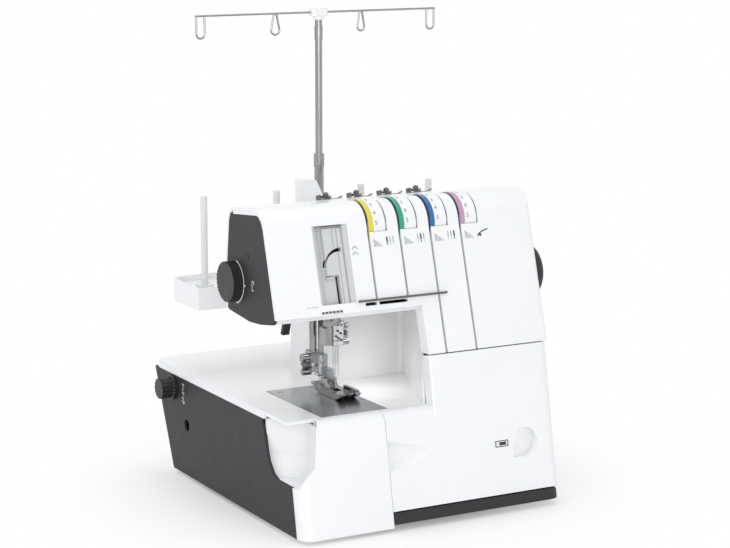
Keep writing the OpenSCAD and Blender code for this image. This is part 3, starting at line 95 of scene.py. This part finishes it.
def front_at(z):
    """The y of the machine's front at a height."""
    if z <= JOINT_Z:
        return FRONT_Y + LEAN_LOW * (z - FRONT_Z)
    return front_at(JOINT_Z) + LEAN_UP * (z - JOINT_Z)


# Materials ------------------------------------------------------------------------------

class Look:
    """A small helper that builds one node material."""

    def __init__(self, name):
        self.mat = bpy.data.materials.new(name)
        self.mat.use_nodes = True
        self.nodes = self.mat.node_tree.nodes
        self.links = self.mat.node_tree.links
        self.bsdf = self.nodes["Principled BSDF"]
        self.coord = self.nodes.new("ShaderNodeTexCoord").outputs["Object"]

    def node(self, kind, **values):
        """A node whose inputs or settings take the values of the same name."""
        n = self.nodes.new(kind)
        for key, value in values.items():
            if key in n.inputs:
                n.inputs[key].default_value = value
            else:
                setattr(n, key, value)
        return n

    def noise(self, scale, detail=4.0, rough=0.55, stretch=None):
        n = self.node("ShaderNodeTexNoise", Scale=scale, Detail=detail, Roughness=rough)
        if stretch:
            m = self.node("ShaderNodeMapping", Scale=stretch)
            self.links.new(self.coord, m.inputs["Vector"])
            self.links.new(m.outputs["Vector"], n.inputs["Vector"])
        else:
            self.links.new(self.coord, n.inputs["Vector"])
        return n.outputs["Fac"]

    def ramp(self, fac, colour, low, high):
        """The colour between two strengths; low and high are (position, strength)."""
        r = self.node("ShaderNodeValToRGB")
        for slot, (at, by) in zip(r.color_ramp.elements, (low, high)):
            slot.position = at
            slot.color = (*tint(colour, by), 1.0)
        self.links.new(fac, r.inputs["Fac"])
        return r.outputs["Color"]

    def spread(self, fac, low, high):
        m = self.node("ShaderNodeMapRange")
        m.inputs["To Min"].default_value = low
        m.inputs["To Max"].default_value = high
        self.links.new(fac, m.inputs["Value"])
        return m.outputs["Result"]

    def bump(self, height, strength, distance, edge=0.0):
        """Fine relief; edge is the radius in metres of a softened edge."""
        b = self.node("ShaderNodeBump", Strength=strength, Distance=distance)
        self.links.new(height, b.inputs["Height"])
        if edge:
            v = self.node("ShaderNodeBevel", samples=6, Radius=edge)
            self.links.new(v.outputs["Normal"], b.inputs["Normal"])
        self.links.new(b.outputs["Normal"], self.bsdf.inputs["Normal"])

    def put(self, socket, value):
        if hasattr(value, "is_linked"):
            self.links.new(value, self.bsdf.inputs[socket])
        else:
            self.bsdf.inputs[socket].default_value = value


def tint(colour, by):
    """A colour made darker or lighter."""
    return tuple(max(0.0, min(1.0, c * by)) for c in colour)


# Noise scales, per metre, and relief depths, in metres
CLOUD_SCALE, HAZE_SCALE = 9.0, 60.0
MACHINING_SCALE = 420.0
RUBBER_CLOUD, RUBBER_GRAIN = 220.0, 1400.0
INK_GRAIN = 1500.0
GRAIN_DEEP, MACHINING_DEEP, RUBBER_DEEP = 0.00008, 0.00006, 0.0001
RUBBER_EDGE = 0.0004


def moulded(name, colour, rough, grain=900.0, depth=0.05, spec=0.5, coat=0.0, edge=0.0009):
    """Injection-moulded plastic: faint clouding, fine spark grain, softly rounded edges."""
    k = Look(name)
    k.put("Base Color", k.ramp(k.noise(CLOUD_SCALE, 3.0), colour, (0.3, 0.985), (0.7, 1.012)))
    k.put("Roughness", k.spread(k.noise(HAZE_SCALE, 3.0), rough * 0.88, rough * 1.12))
    k.bump(k.noise(grain, 2.0), depth, GRAIN_DEEP, edge)
    k.put("Specular IOR Level", spec)
    k.put("Coat Weight", coat)
    k.put("Coat Roughness", 0.12)
    return k.mat


def steel(name, colour, rough, stretch, depth=0.12, edge=0.0003):
    """Steel with fine machining lines along one direction and small stains."""
    k = Look(name)
    lines = k.noise(MACHINING_SCALE, 5.0, 0.6, stretch)
    k.put("Base Color", k.ramp(lines, colour, (0.25, 0.82), (0.75, 1.1)))
    k.put("Metallic", 1.0)
    k.put("Roughness", k.spread(lines, rough * 0.75, rough * 1.25))
    k.bump(lines, depth, MACHINING_DEEP, edge)
    return k.mat


def rubbery(name, colour, rough):
    """Dull black rubber with a coarse skin."""
    k = Look(name)
    k.put("Base Color", k.ramp(k.noise(RUBBER_CLOUD), colour, (0.3, 0.8), (0.7, 1.3)))
    k.put("Roughness", rough)
    k.bump(k.noise(RUBBER_GRAIN, 3.0), 0.25, RUBBER_DEEP, RUBBER_EDGE)
    return k.mat


def printed(name, colour, rough):
    """Thin printed ink with slightly uneven cover."""
    k = Look(name)
    k.put("Base Color", k.ramp(k.noise(INK_GRAIN, 2.0), colour, (0.35, 0.9), (0.65, 1.1)))
    k.put("Roughness", rough)
    return k.mat


# How each kind is made, its name, colour, roughness and other values
LOOK_LIST = [
    (moulded, "white_plastic", (0.87, 0.872, 0.875), 0.26, {"coat": 0.25}),
    (moulded, "light_grey_plastic", (0.60, 0.605, 0.615), 0.36, {}),
    (moulded, "dark_grey_plastic", (0.029, 0.028, 0.032), 0.5,
     {"grain": 700.0, "depth": 0.3, "spec": 0.3}),
    (moulded, "black_plastic", (0.02, 0.02, 0.022), 0.42,
     {"depth": 0.2, "spec": 0.4, "edge": 0.0005}),
    (moulded, "motor_paint", (0.03, 0.03, 0.033), 0.35, {"grain": 300.0, "depth": 0.15}),
    (steel, "black_steel", (0.09, 0.09, 0.095), 0.35, {"stretch": (1.0, 1.0, 1.0)}),
    (rubbery, "rubber", (0.018, 0.018, 0.018), 0.7, {}),
    (steel, "cast_aluminium", (0.45, 0.46, 0.47), 0.5,
     {"stretch": (0.6, 0.6, 0.6), "depth": 0.5}),
    (moulded, "yellow_band", (0.74, 0.62, 0.07), 0.3, {"coat": 0.3}),
    (moulded, "green_band", (0.02, 0.33, 0.21), 0.3, {"coat": 0.3}),
    (moulded, "blue_band", (0.012, 0.13, 0.35), 0.3, {"coat": 0.3}),
    (moulded, "pink_band", (0.50, 0.31, 0.45), 0.3, {"coat": 0.3}),
    (moulded, "lamp_lens", (0.82, 0.80, 0.72), 0.2, {}),
    (moulded, "pin_plastic", (0.74, 0.75, 0.75), 0.3, {}),
    (steel, "brushed_steel", (0.42, 0.43, 0.44), 0.3, {"stretch": (1.0, 0.03, 1.0)}),
    (steel, "bright_steel", (0.34, 0.345, 0.35), 0.16,
     {"stretch": (0.4, 0.4, 0.05), "depth": 0.05}),
    (steel, "polished_steel", (0.62, 0.63, 0.65), 0.1,
     {"stretch": (0.4, 0.4, 0.05), "depth": 0.04}),
    (steel, "dark_steel", (0.16, 0.16, 0.165), 0.22, {"stretch": (0.4, 0.4, 0.4), "depth": 0.05}),
    (steel, "plate_steel", (0.36, 0.37, 0.38), 0.24, {"stretch": (0.16, 0.01, 1.0)}),
    (printed, "dark_ink", (0.025, 0.025, 0.03), 0.45, {}),
    (printed, "pale_ink", (0.27, 0.27, 0.29), 0.45, {}),
    (printed, "white_ink", (0.72, 0.72, 0.72), 0.45, {}),
    # gap_shade paints shade in the dial gaps and thread slots, and colours the dark joint lines of
    # the clamp
    (printed, "gap_shade", (0.03, 0.03, 0.032), 0.8, {}),
    # channel_shade paints the shade in the threading channels
    (printed, "channel_shade", (0.13, 0.13, 0.14), 0.6, {}),
]
LOOKS = {name: make(name, colour, rough, **values)
         for make, name, colour, rough, values in LOOK_LIST}
# The thread guides are darker than the other bright steel, and the needles are polished
NODE_LOOKS = {"thread_guides": "dark_steel", "guide_rod": "dark_steel",
              "needles": "polished_steel", "needle_plate": "plate_steel"}

for part in frame["record"]["subparts"]:
    node = frame["nodes"].get(part["node"])
    if node is None:
        continue
    for piece in [node, *node.children_recursive]:
        if piece.type == "MESH":
            piece.data.materials.clear()
            piece.data.materials.append(LOOKS[NODE_LOOKS.get(part["node"], part["material_slot"])])


# Piece builders -------------------------------------------------------------------------

INK_THICK = 0.05
# The font's size over the height of its numerals
FONT_SCALE = 1.35


def add_piece(name, bm, look, body, smooth=False):
    """Turns a bmesh into a piece that rides on a CAD body."""
    bmesh.ops.recalc_face_normals(bm, faces=bm.faces)
    mesh = bpy.data.meshes.new(name)
    bm.to_mesh(mesh)
    bm.free()
    if smooth:
        mesh.polygons.foreach_set("use_smooth", [True] * len(mesh.polygons))
    mesh.materials.append(LOOKS[look])
    piece = bpy.data.objects.new(name, mesh)
    bpy.context.scene.collection.objects.link(piece)
    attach(piece, body)
    return piece


class Face:
    """A flat drawing frame in mm: a point, a direction to the right and a direction up."""

    def __init__(self, at, right, up):
        self.at = Vector(at)
        self.right = Vector(right).normalized()
        self.out = self.right.cross(Vector(up)).normalized()
        self.up = self.out.cross(self.right)

    def point(self, u, v, w=0.0):
        return (self.at + self.right * u + self.up * v + self.out * w) * MM


def front_face(x, z):
    """A face on the machine's front, at its lean on that side of the joint."""
    lean = LEAN_LOW if z <= JOINT_Z else LEAN_UP
    return Face((x, front_at(z), z), (1, 0, 0), (0.0, lean, 1.0))


def ahead_face(x, y, z):
    """An upright face that looks towards the operator."""
    return Face((x, y, z), (1, 0, 0), (0, 0, 1))


def left_face(x, y, z):
    """An upright face that looks to the machine's left."""
    return Face((x, y, z), (0, -1, 0), (0, 0, 1))


def add_plates(bm, face, outlines, sink=0.0, thick=INK_THICK):
    """Thin closed plates on a face, one for each outline of (u, v) points in mm."""
    for outline in outlines:
        low = [bm.verts.new(face.point(u, v, -sink)) for u, v in outline]
        high = [bm.verts.new(face.point(u, v, thick)) for u, v in outline]
        bm.faces.new(low[::-1])
        bm.faces.new(high)
        for i in range(len(outline)):
            j = (i + 1) % len(outline)
            bm.faces.new((low[i], low[j], high[j], high[i]))


def plate_piece(name, face, outlines, look, body, slot, **sizes):
    """A piece made of plates on one face."""
    bm = bmesh.new()
    add_plates(bm, face, outlines, **sizes)
    add_piece(name, bm, look, body)


def bar(u, v, width, height):
    return [(u, v), (u + width, v), (u + width, v + height), (u, v + height)]


def stroke(points, width):
    """Outlines of straight strokes of one width along points."""
    shapes = []
    for (ax, ay), (bx, by) in zip(points, points[1:]):
        length = math.hypot(bx - ax, by - ay)
        nx, ny = -(by - ay) / length * width / 2, (bx - ax) / length * width / 2
        shapes.append([(ax + nx, ay + ny), (ax - nx, ay - ny),
                       (bx - nx, by - ny), (bx + nx, by + ny)])
    return shapes


def ring_arc(radius, width, start, stop, steps=24):
    """One outline of an arc band, angles in degrees."""
    turns = [math.radians(start + (stop - start) * i / steps) for i in range(steps + 1)]
    outer, inner = [[(r * math.cos(t), r * math.sin(t)) for t in turns]
                    for r in (radius + width / 2, radius - width / 2)]
    return outer + inner[::-1]


def disc(u, v, radius, steps=20):
    turns = [2 * math.pi * i / steps for i in range(steps)]
    return [(u + radius * math.cos(t), v + radius * math.sin(t)) for t in turns]


def add_digit(bm, text, face, height):
    """A plain numeral of a given height in mm, stood on a face."""
    curve = bpy.data.curves.new("numeral", "FONT")
    curve.body = text
    curve.size = height * FONT_SCALE * MM
    curve.align_x = "CENTER"
    curve.align_y = "CENTER"
    curve.extrude = INK_THICK / 2 * MM
    holder = bpy.data.objects.new("numeral", curve)
    bpy.context.scene.collection.objects.link(holder)
    graph = bpy.context.evaluated_depsgraph_get()
    mesh = bpy.data.meshes.new_from_object(holder.evaluated_get(graph))
    turn = Matrix((face.right, face.up, face.out)).transposed().to_4x4()
    mesh.transform(Matrix.Translation(face.at * MM) @ turn)
    bm.from_mesh(mesh)
    bpy.data.objects.remove(holder)
    bpy.data.curves.remove(curve)
    bpy.data.meshes.remove(mesh)


def add_ring(bm, centre, side, other, radius, sides):
    """A ring of vertices round a centre in mm, in the plane of two directions."""
    turns = [2 * math.pi * k / sides for k in range(sides)]
    return [bm.verts.new((centre + (side * math.cos(t) + other * math.sin(t)) * radius) * MM)
            for t in turns]


def join_rings(bm, rings, closed=False):
    """Walls between rings of vertices, with a cap at both ends unless it is closed."""
    for a, b in zip(rings, rings[1:] + (rings[:1] if closed else [])):
        for k in range(len(a)):
            m = (k + 1) % len(a)
            bm.faces.new((a[k], a[m], b[m], b[k]))
    if not closed:
        bm.faces.new(rings[0][::-1])
        bm.faces.new(rings[-1])


def add_tube(bm, points, radius, sides=10):
    """A round wire through points in mm."""
    path = [Vector(p) for p in points]
    rings = []
    side = None
    for i, p in enumerate(path):
        along = (path[min(i + 1, len(path) - 1)] - path[max(i - 1, 0)]).normalized()
        if side is None:
            side = along.orthogonal().normalized()
        side = (side - along * side.dot(along)).normalized()
        rings.append(add_ring(bm, p, side, along.cross(side), radius, sides))
    join_rings(bm, rings)


def add_turning(bm, at, axis, profile, sides=32):
    """A turned solid: profile is (distance along axis, radius) in mm, closed at both ends."""
    axis = Vector(axis).normalized()
    side = axis.orthogonal().normalized()
    other = axis.cross(side)
    join_rings(bm, [add_ring(bm, Vector(at) + axis * along, side, other, radius, sides)
                    for along, radius in profile])


def add_strip(bm, x0, x1, radius, start, stop, thick, steps=20):
    """A curved strip round the tension axle between two angles, as a closed solid."""
    rings = []
    for i in range(steps + 1):
        t = math.radians(start + (stop - start) * i / steps)
        section = ((x0, radius), (x1, radius), (x1, radius - thick), (x0, radius - thick))
        rings.append([bm.verts.new(Vector((x, CORNER[0] + r * math.cos(t),
                                           CORNER[1] + r * math.sin(t))) * MM)
                      for x, r in section])
    join_rings(bm, rings)


# Marks and small parts, sizes in mm and angles in degrees ------------------------------

MARK_Z = 284.0          # foot of the marks under the dials
MARK_IN = 3.5           # from a dial's left side to its marks
RAMP_BARS = 7
NEEDLE_SIGNS = 3
NEEDLE_SIGN_U, NEEDLE_SIGN_PITCH = 16.0, 3.6
BOLD, THIN = 1.7, 0.7


def dial_marks():
    """Under each dial a ramp of thin bars and three needle signs, one of them bold.

    The last dial has a hooked arrow in place of the needle signs.
    """
    for i, x in enumerate(DIAL_X):
        face = front_face(x + MARK_IN, MARK_Z)
        ramp = [bar(1.5 * k, 0.0, THIN, 8.4 - 1.15 * k) for k in range(RAMP_BARS)]
        plate_piece(f"tension_ramp_{i + 1}", face, ramp, "pale_ink", "machine", "white_plastic")
        signs = []
        if i < NEEDLE_SIGNS:
            for k in range(NEEDLE_SIGNS):
                width = BOLD if k == i else THIN
                u = NEEDLE_SIGN_U + NEEDLE_SIGN_PITCH * k - width / 2
                tip = [(u, 2.4), (u + width / 2, 0.2), (u + width, 2.4)]
                signs += [bar(u, 3.2, width, 6.4), tip]
        else:
            signs += stroke([(15.0, 1.0), (18.0, 4.6), (22.0, 6.6), (28.0, 8.2)], 1.3)
            signs.append([(15.0, 4.4), (20.5, 3.4), (18.5, 0.6)])
        plate_piece(f"thread_sign_{i + 1}", face, signs, "dark_ink", "machine", "white_plastic")


CHEVRON_X, CHEVRON_Z = -62.2, (279.6, 285.2)


def chevron_marks():
    """Two chevrons beside the take-up cover."""
    bm = bmesh.new()
    for z in CHEVRON_Z:
        add_plates(bm, front_face(CHEVRON_X, z),
                   stroke([(-3.4, -1.6), (0.0, 1.6), (3.4, -1.6)], 0.9))
    add_piece("threading_chevrons", bm, "pale_ink", "machine")


ARROW_X, ARROW_Z, ARROW_PITCH = -123.5, 231.0, 4.6


def threading_marks():
    """Small arrowheads along the lower edge of the head."""
    bm = bmesh.new()
    for k in range(3):
        add_plates(bm, front_face(ARROW_X + ARROW_PITCH * k, ARROW_Z),
                   stroke([(-1.7, -0.7), (0.0, 0.9), (1.7, -0.7)], 0.45))
    add_piece("head_arrowheads", bm, "pale_ink", "machine")


NUMBER_IN = 9.2         # from a dial's left side to the middle of its numerals
NUMBER_H = 4.4
NUMBER_START, NUMBER_STEP = 124.0, 22.0
NUMBER_LIFT = 0.02      # above the drum


def dial_numbers():
    """Numerals round each drum, right of the coloured rim."""
    for i, x in enumerate(DIAL_X):
        bm = bmesh.new()
        for value in range(10):
            turn = math.radians(NUMBER_START - NUMBER_STEP * value)
            out = Vector((0.0, -math.cos(turn), math.sin(turn)))
            up = Vector((0.0, math.sin(turn), math.cos(turn)))
            at = Vector((x + NUMBER_IN, *CORNER)) + out * (DIAL_R + NUMBER_LIFT)
            add_digit(bm, str(value), Face(at, (1, 0, 0), up), NUMBER_H)
        add_piece(f"dial_numbers_{i + 1}", bm, "dark_ink", f"tension_wheel_{i + 1}")


WINDOW_AT = (85.0, 72.5)


def latch_window():
    """A little window in the looper cover with a sliding catch behind it."""
    face = front_face(*WINDOW_AT)
    for name, outline, look, slot, thick in (
            ("frame", bar(-8.0, -3.4, 16.0, 6.8), "dark_ink", "dark_grey_plastic", INK_THICK),
            ("light", bar(-7.0, -2.5, 14.0, 5.0), "white_ink", "white_plastic", 0.09),
            ("slider", bar(-3.0, -1.7, 8.0, 3.4), "dark_ink", "dark_grey_plastic", 0.14)):
        plate_piece(f"latch_window_{name}", face, [outline], look, "looper_door", slot,
                    thick=thick)


INDEX_R, INDEX_HALF = 22.5, 78.0
SIGN_AT = (-43.0, 2.0)  # y and z from the knob
ARC_AT = (-31.0, 30.0)


def end_cap_marks():
    """The white index round the pressure knob, a sign beside it and a moulded arc above it."""
    y, z = KNOB
    marks = [
        ("pressure_index", (0.0, 0.0), "white_ink", INK_THICK,
         [ring_arc(INDEX_R, 1.5, -INDEX_HALF, INDEX_HALF), disc(24.8, -1.0, 1.2)]),
        ("pressure_sign", SIGN_AT, "white_ink", INK_THICK,
         stroke([(-1.4, 5.0), (-1.4, -5.0), (1.8, -5.0)], 1.0)
         + stroke([(-1.4, 4.5), (2.6, 4.5), (2.6, 1.2)], 0.9)),
        ("pressure_arc", ARC_AT, "dark_grey_plastic", 0.4, [ring_arc(3.4, 0.8, -20.0, 160.0, 12)]),
    ]
    for name, (dy, dz), look, thick, outlines in marks:
        plate_piece(name, left_face(HEAD_X, y + dy, z + dz), outlines, look, "machine",
                    "dark_grey_plastic", thick=thick)


SIGN_ROWS = ((8.2, 6.0), (3.4, 4.0), (-1.2, 6.0), (-6.6, 4.4), (-11.2, 6.4))
SIGN_U = 24.0
TICKS, TICK_START, TICK_STEP = 7, -54.0, 18.0
TICK_R0, TICK_R1, TICK_HALF = 11.9, 13.3, 0.3


def differential_marks():
    """Signs beside the differential feed dial, and ticks on its flange."""
    rows = []
    for v, width in SIGN_ROWS:
        rows += [bar(SIGN_U, v, width, 0.9), bar(SIGN_U + width * 0.4, v - 1.9, width * 0.55, 0.9)]
    plate_piece("differential_signs", left_face(-HALF_W, *DIFFERENTIAL), rows, "white_ink",
                "machine", "dark_grey_plastic")
    ticks = []
    for k in range(TICKS):
        turn = math.radians(TICK_START + TICK_STEP * k)
        c, n = math.cos(turn), math.sin(turn)
        ticks.append([(r * c + h * n, r * n - h * c) for r, h in (
            (TICK_R0, TICK_HALF), (TICK_R1, TICK_HALF),
            (TICK_R1, -TICK_HALF), (TICK_R0, -TICK_HALF))])
    plate_piece("differential_ticks", left_face(-HALF_W - DIFFERENTIAL_FLANGE, *DIFFERENTIAL),
                ticks, "white_ink", "differential_control", "black_plastic")


GUIDE_MARKS = ((-18.0, -119.0), (13.0, -118.0))
GUIDE_MARK_SIZE = (5.2, 1.3)


def bed_marks():
    """Two faint cloth guide marks right of the needle plate."""
    bed = Face((0.0, 0.0, BED_Z), (1, 0, 0), (0, 1, 0))
    plate_piece("cloth_guide_marks", bed, [bar(x, y, *GUIDE_MARK_SIZE) for x, y in GUIDE_MARKS],
                "pale_ink", "machine", "white_plastic")


FRONT_TURN, TOP_TURN = 163.0, 80.0
# Painted shade: dark strips that stand for the shade in the gaps beside each dial
GAP_SHADE_THICK, GAP_SHADE_DROP = 1.2, 0.1
GAP_SHADE_SPANS = ((-2.0, -0.15), (DIAL_W + 0.35, DIAL_W + 1.7))  # x from a dial's left side


def dial_liners():
    """Painted shade: dark strips, flush with the cover, in the gaps on both sides of every dial.
    """
    for i, x in enumerate(DIAL_X):
        bm = bmesh.new()
        for start, end in GAP_SHADE_SPANS:
            add_strip(bm, x + start, x + end, CORNER_R - GAP_SHADE_DROP, FRONT_TURN, TOP_TURN,
                      GAP_SHADE_THICK)
        add_piece(f"dial_seals_{i + 1}", bm, "gap_shade", "machine")


CHANNEL_DEEP = 4.6
# Painted shade: dark grey strips at the floor of each channel stand for the shade in it
SHADE_STRIP_W, SHADE_STRIP_THICK = 2.3, 1.2
SHADE_STRIP_IN = 1.2           # from a dial's left side to the middle of its channel
SHADE_STRIP_END = 2.0          # bare length at each end of a channel


def channel_liners():
    """Painted shade: dark grey strips sunk in the threading channels below the dials."""
    for i, (x, low) in enumerate(zip(DIAL_X, CHANNEL_BOTTOMS)):
        length = (CORNER[1] - low) * math.hypot(1.0, LEAN_UP) - 2 * SHADE_STRIP_END
        plate_piece(f"channel_felt_{i + 1}", front_face(x - SHADE_STRIP_IN, low + SHADE_STRIP_END),
                    [bar(-SHADE_STRIP_W / 2, 0.0, SHADE_STRIP_W, length)], "channel_shade", "machine",
                    "dark_grey_plastic", sink=CHANNEL_DEEP + SHADE_STRIP_THICK, thick=-CHANNEL_DEEP)


GUIDE_AT = (-110.0, 223.2)
GUIDE_SIZE = (25.0, 2.6)
GUIDE_SLOTS, SLOT_PITCH = 6, 4.1
SLOT_U, SLOT_V, SLOT_SIZE = 1.2, 0.7, (2.3, 1.9)


def head_guide():
    """A steel strip under the front edge of the head, with dark plates of painted shade over its
    thread slots.
    """
    face = front_face(*GUIDE_AT)
    slots = [bar(SLOT_U + SLOT_PITCH * k, SLOT_V, *SLOT_SIZE) for k in range(GUIDE_SLOTS)]
    plate_piece("head_thread_guide", face, [bar(0.0, 0.0, *GUIDE_SIZE)], "polished_steel",
                "machine", "bright_steel", thick=0.5)
    # The thread slots are dark plates of painted shade laid on the strip
    plate_piece("head_thread_slots", face, slots, "gap_shade", "machine", "bright_steel",
                thick=0.7)


CLAMP_CORNER = (NEEDLE_X - 7.0, NEEDLE_Y - 7.0, CLAMP_Z + 2.0)
EYES = ((6.5, 25.0), (9.5, 22.0), (3.5, 24.5))  # x and z from the clamp
EYE_OUT = 8.2                                   # in front of the needles
EYE_R, EYE_WIRE, EYE_STEPS = 2.0, 0.45, 16
EYE_START, EYE_TURN = -40.0, 300.0
EYE_RISE = 0.06                                 # per step, so that the wire's ends part


def clamp_details():
    """Bent wire thread eyes, polished faces and dark joint lines on the needle clamp."""
    bm = bmesh.new()
    for x, z in EYES:
        at = Vector((NEEDLE_X + x, NEEDLE_Y - EYE_OUT, CLAMP_Z + z))
        turns = [math.radians(EYE_START + EYE_TURN * i / EYE_STEPS) for i in range(EYE_STEPS + 1)]
        add_tube(bm, [at + Vector((EYE_R * math.cos(t), -0.5 + EYE_RISE * i, EYE_R * math.sin(t)))
                      for i, t in enumerate(turns)], EYE_WIRE, 8)
    add_piece("clamp_thread_eyes", bm, "polished_steel", "needle_group", True)
    face = ahead_face(*CLAMP_CORNER)
    plate_piece("clamp_polished_face", face, [bar(0.9, 5.9, 11.6, 15.0), bar(0.9, 0.4, 11.6, 4.6)],
                "polished_steel", "needle_group", "bright_steel", thick=0.08)
    plate_piece("clamp_joint_lines", face, [bar(0.2, 0.0, 0.5, 21.0), bar(0.2, 5.2, 12.6, 0.5)],
                "gap_shade", "needle_group", "bright_steel")


SHANK_LEFT = (PRESSER_X - 1.0, PRESSER_Y - 3.0, SHANK_Z)
SHANK_FRONT = (PRESSER_X - 1.0, PRESSER_Y - 14.0, SHANK_Z)
SCREW_AT = (PRESSER_X + 4.5, PRESSER_Y - 13.6, SHANK_Z + 16.0)
SPRING_AT = (PRESSER_X - 15.0, PRESSER_Y - 5.0, SHANK_Z + 11.5)
SPRING_R, SPRING_WIRE, SPRING_LENGTH = 4.0, 0.5, 9.0
SPRING_COILS, SPRING_STEPS = 6, 80


def shank_details():
    """Polished faces, a screw and a lever spring on the presser shank."""
    bm = bmesh.new()
    add_plates(bm, left_face(*SHANK_LEFT), [bar(0.6, 1.0, 9.6, 21.6)])
    add_plates(bm, ahead_face(*SHANK_FRONT), [bar(0.6, 1.0, 4.4, 21.6)])
    add_piece("shank_faces", bm, "polished_steel", "presser_group")
    bm = bmesh.new()
    add_turning(bm, SCREW_AT, (0, -1, 0),
                [(-1.0, 2.6), (1.0, 2.6), (1.6, 2.2), (1.8, 1.6)])
    add_piece("shank_screw", bm, "brushed_steel", "presser_group", True)
    bm = bmesh.new()
    x, y, z = SPRING_AT
    coil = [(i / SPRING_STEPS, 2 * math.pi * SPRING_COILS * i / SPRING_STEPS)
            for i in range(SPRING_STEPS + 1)]
    add_tube(bm, [(x + SPRING_LENGTH * share, y + SPRING_R * math.cos(t),
                   z + SPRING_R * math.sin(t)) for share, t in coil], SPRING_WIRE, 6)
    add_piece("lever_spring", bm, "dark_steel", "presser_group", True)


for build in (dial_marks, chevron_marks, threading_marks, dial_numbers, latch_window,
              end_cap_marks, differential_marks, bed_marks, dial_liners, channel_liners,
              head_guide, clamp_details, shank_details):
    build()


# Light and backdrop, in metres and watts -------------------------------------------------

BODY_MIDDLE = (0.0, 0.0, 0.16)
# Name, place, aim, size, power and spread in degrees
LIGHTS = [
    ("front", (-0.9, -2.3, 0.75), BODY_MIDDLE, (1.8, 1.2), 14.2, 180.0),
    ("side", (-2.0, -0.6, 1.0), BODY_MIDDLE, (1.2, 1.2), 6.0, 180.0),
    ("top", (0.0, 0.2, 2.4), (0.0, 0.0, 0.1), (2.0, 2.0), 12.4, 180.0),
    ("sewing_lamp", (-0.03, -0.075, 0.206), (-0.03, -0.07, 0.12), (0.07, 0.05), 0.022, 100.0),
]
FLOOR_HALF, FLOOR_DROP = 9.0, 0.0004
FLOOR_GREY = 0.93
FADE_FROM, FADE_TO = 0.1, 0.34      # how far from the middle the floor turns plain white
PLAIN_WHITE = (1.0, 1.0, 1.0, 1.0)
SKY_COLOUR, SKY_STRENGTH = (0.95, 0.97, 1.0, 1.0), 0.76


def add_light(name, at, aim, size, power, spread):
    data = bpy.data.lights.new(name, "AREA")
    data.shape = "RECTANGLE"
    data.size, data.size_y = size
    data.energy = power
    data.spread = math.radians(spread)
    light = bpy.data.objects.new(name, data)
    light.location = at
    light.rotation_euler = (Vector(aim) - Vector(at)).to_track_quat("-Z", "Y").to_euler()
    bpy.context.scene.collection.objects.link(light)


def camera_like(nodes, links):
    """1 where a camera, mirror or glass ray arrives, and 0 for light bounced by dull surfaces."""
    path = nodes.new("ShaderNodeLightPath")
    total = path.outputs["Is Camera Ray"]
    for kind in ("Is Glossy Ray", "Is Transmission Ray"):
        join = nodes.new("ShaderNodeMath")
        join.operation = "MAXIMUM"
        links.new(total, join.inputs[0])
        links.new(path.outputs[kind], join.inputs[1])
        total = join.outputs["Value"]
    return total


def add_floor():
    """A white floor that keeps the shadow near the machine and runs out into plain white."""
    mesh = bpy.data.meshes.new("floor")
    bm = bmesh.new()
    bmesh.ops.create_grid(bm, x_segments=1, y_segments=1, size=FLOOR_HALF)
    bm.to_mesh(mesh)
    bm.free()
    floor = bpy.data.objects.new("floor", mesh)
    floor.location = (0.0, 0.0, -FLOOR_DROP)
    bpy.context.scene.collection.objects.link(floor)
    k = Look("floor_paper")
    k.put("Base Color", (FLOOR_GREY, FLOOR_GREY, FLOOR_GREY, 1.0))
    k.put("Roughness", 0.9)
    k.put("Specular IOR Level", 0.0)
    reach = k.node("ShaderNodeVectorMath", operation="LENGTH")
    k.links.new(k.coord, reach.inputs[0])
    fade = k.node("ShaderNodeMapRange")
    fade.inputs["From Min"].default_value = FADE_FROM
    fade.inputs["From Max"].default_value = FADE_TO
    k.links.new(reach.outputs["Value"], fade.inputs["Value"])
    amount = k.node("ShaderNodeMath", operation="MULTIPLY")
    k.links.new(fade.outputs["Result"], amount.inputs[0])
    k.links.new(camera_like(k.nodes, k.links), amount.inputs[1])
    glow = k.node("ShaderNodeEmission")
    mix = k.node("ShaderNodeMixShader")
    k.links.new(amount.outputs["Value"], mix.inputs["Fac"])
    k.links.new(k.bsdf.outputs["BSDF"], mix.inputs[1])
    k.links.new(glow.outputs["Emission"], mix.inputs[2])
    k.links.new(mix.outputs["Shader"], k.nodes["Material Output"].inputs["Surface"])
    mesh.materials.append(k.mat)


def add_sky():
    """Soft light from all round, behind a backdrop of plain white."""
    world = bpy.data.worlds.new("studio")
    bpy.context.scene.world = world
    world.use_nodes = True
    nodes, links = world.node_tree.nodes, world.node_tree.links
    nodes.clear()
    mix = nodes.new("ShaderNodeMixShader")
    links.new(camera_like(nodes, links), mix.inputs["Fac"])
    for slot, colour, strength in ((1, SKY_COLOUR, SKY_STRENGTH), (2, PLAIN_WHITE, 1.0)):
        background = nodes.new("ShaderNodeBackground")
        background.inputs["Color"].default_value = colour
        background.inputs["Strength"].default_value = strength
        links.new(background.outputs["Background"], mix.inputs[slot])
    out = nodes.new("ShaderNodeOutputWorld")
    links.new(mix.outputs["Shader"], out.inputs["Surface"])


add_camera()
add_floor()
add_sky()
for light in LIGHTS:
    add_light(*light)

bpy.context.scene.view_settings.view_transform = "Standard"
bpy.context.scene.view_settings.look = "None"
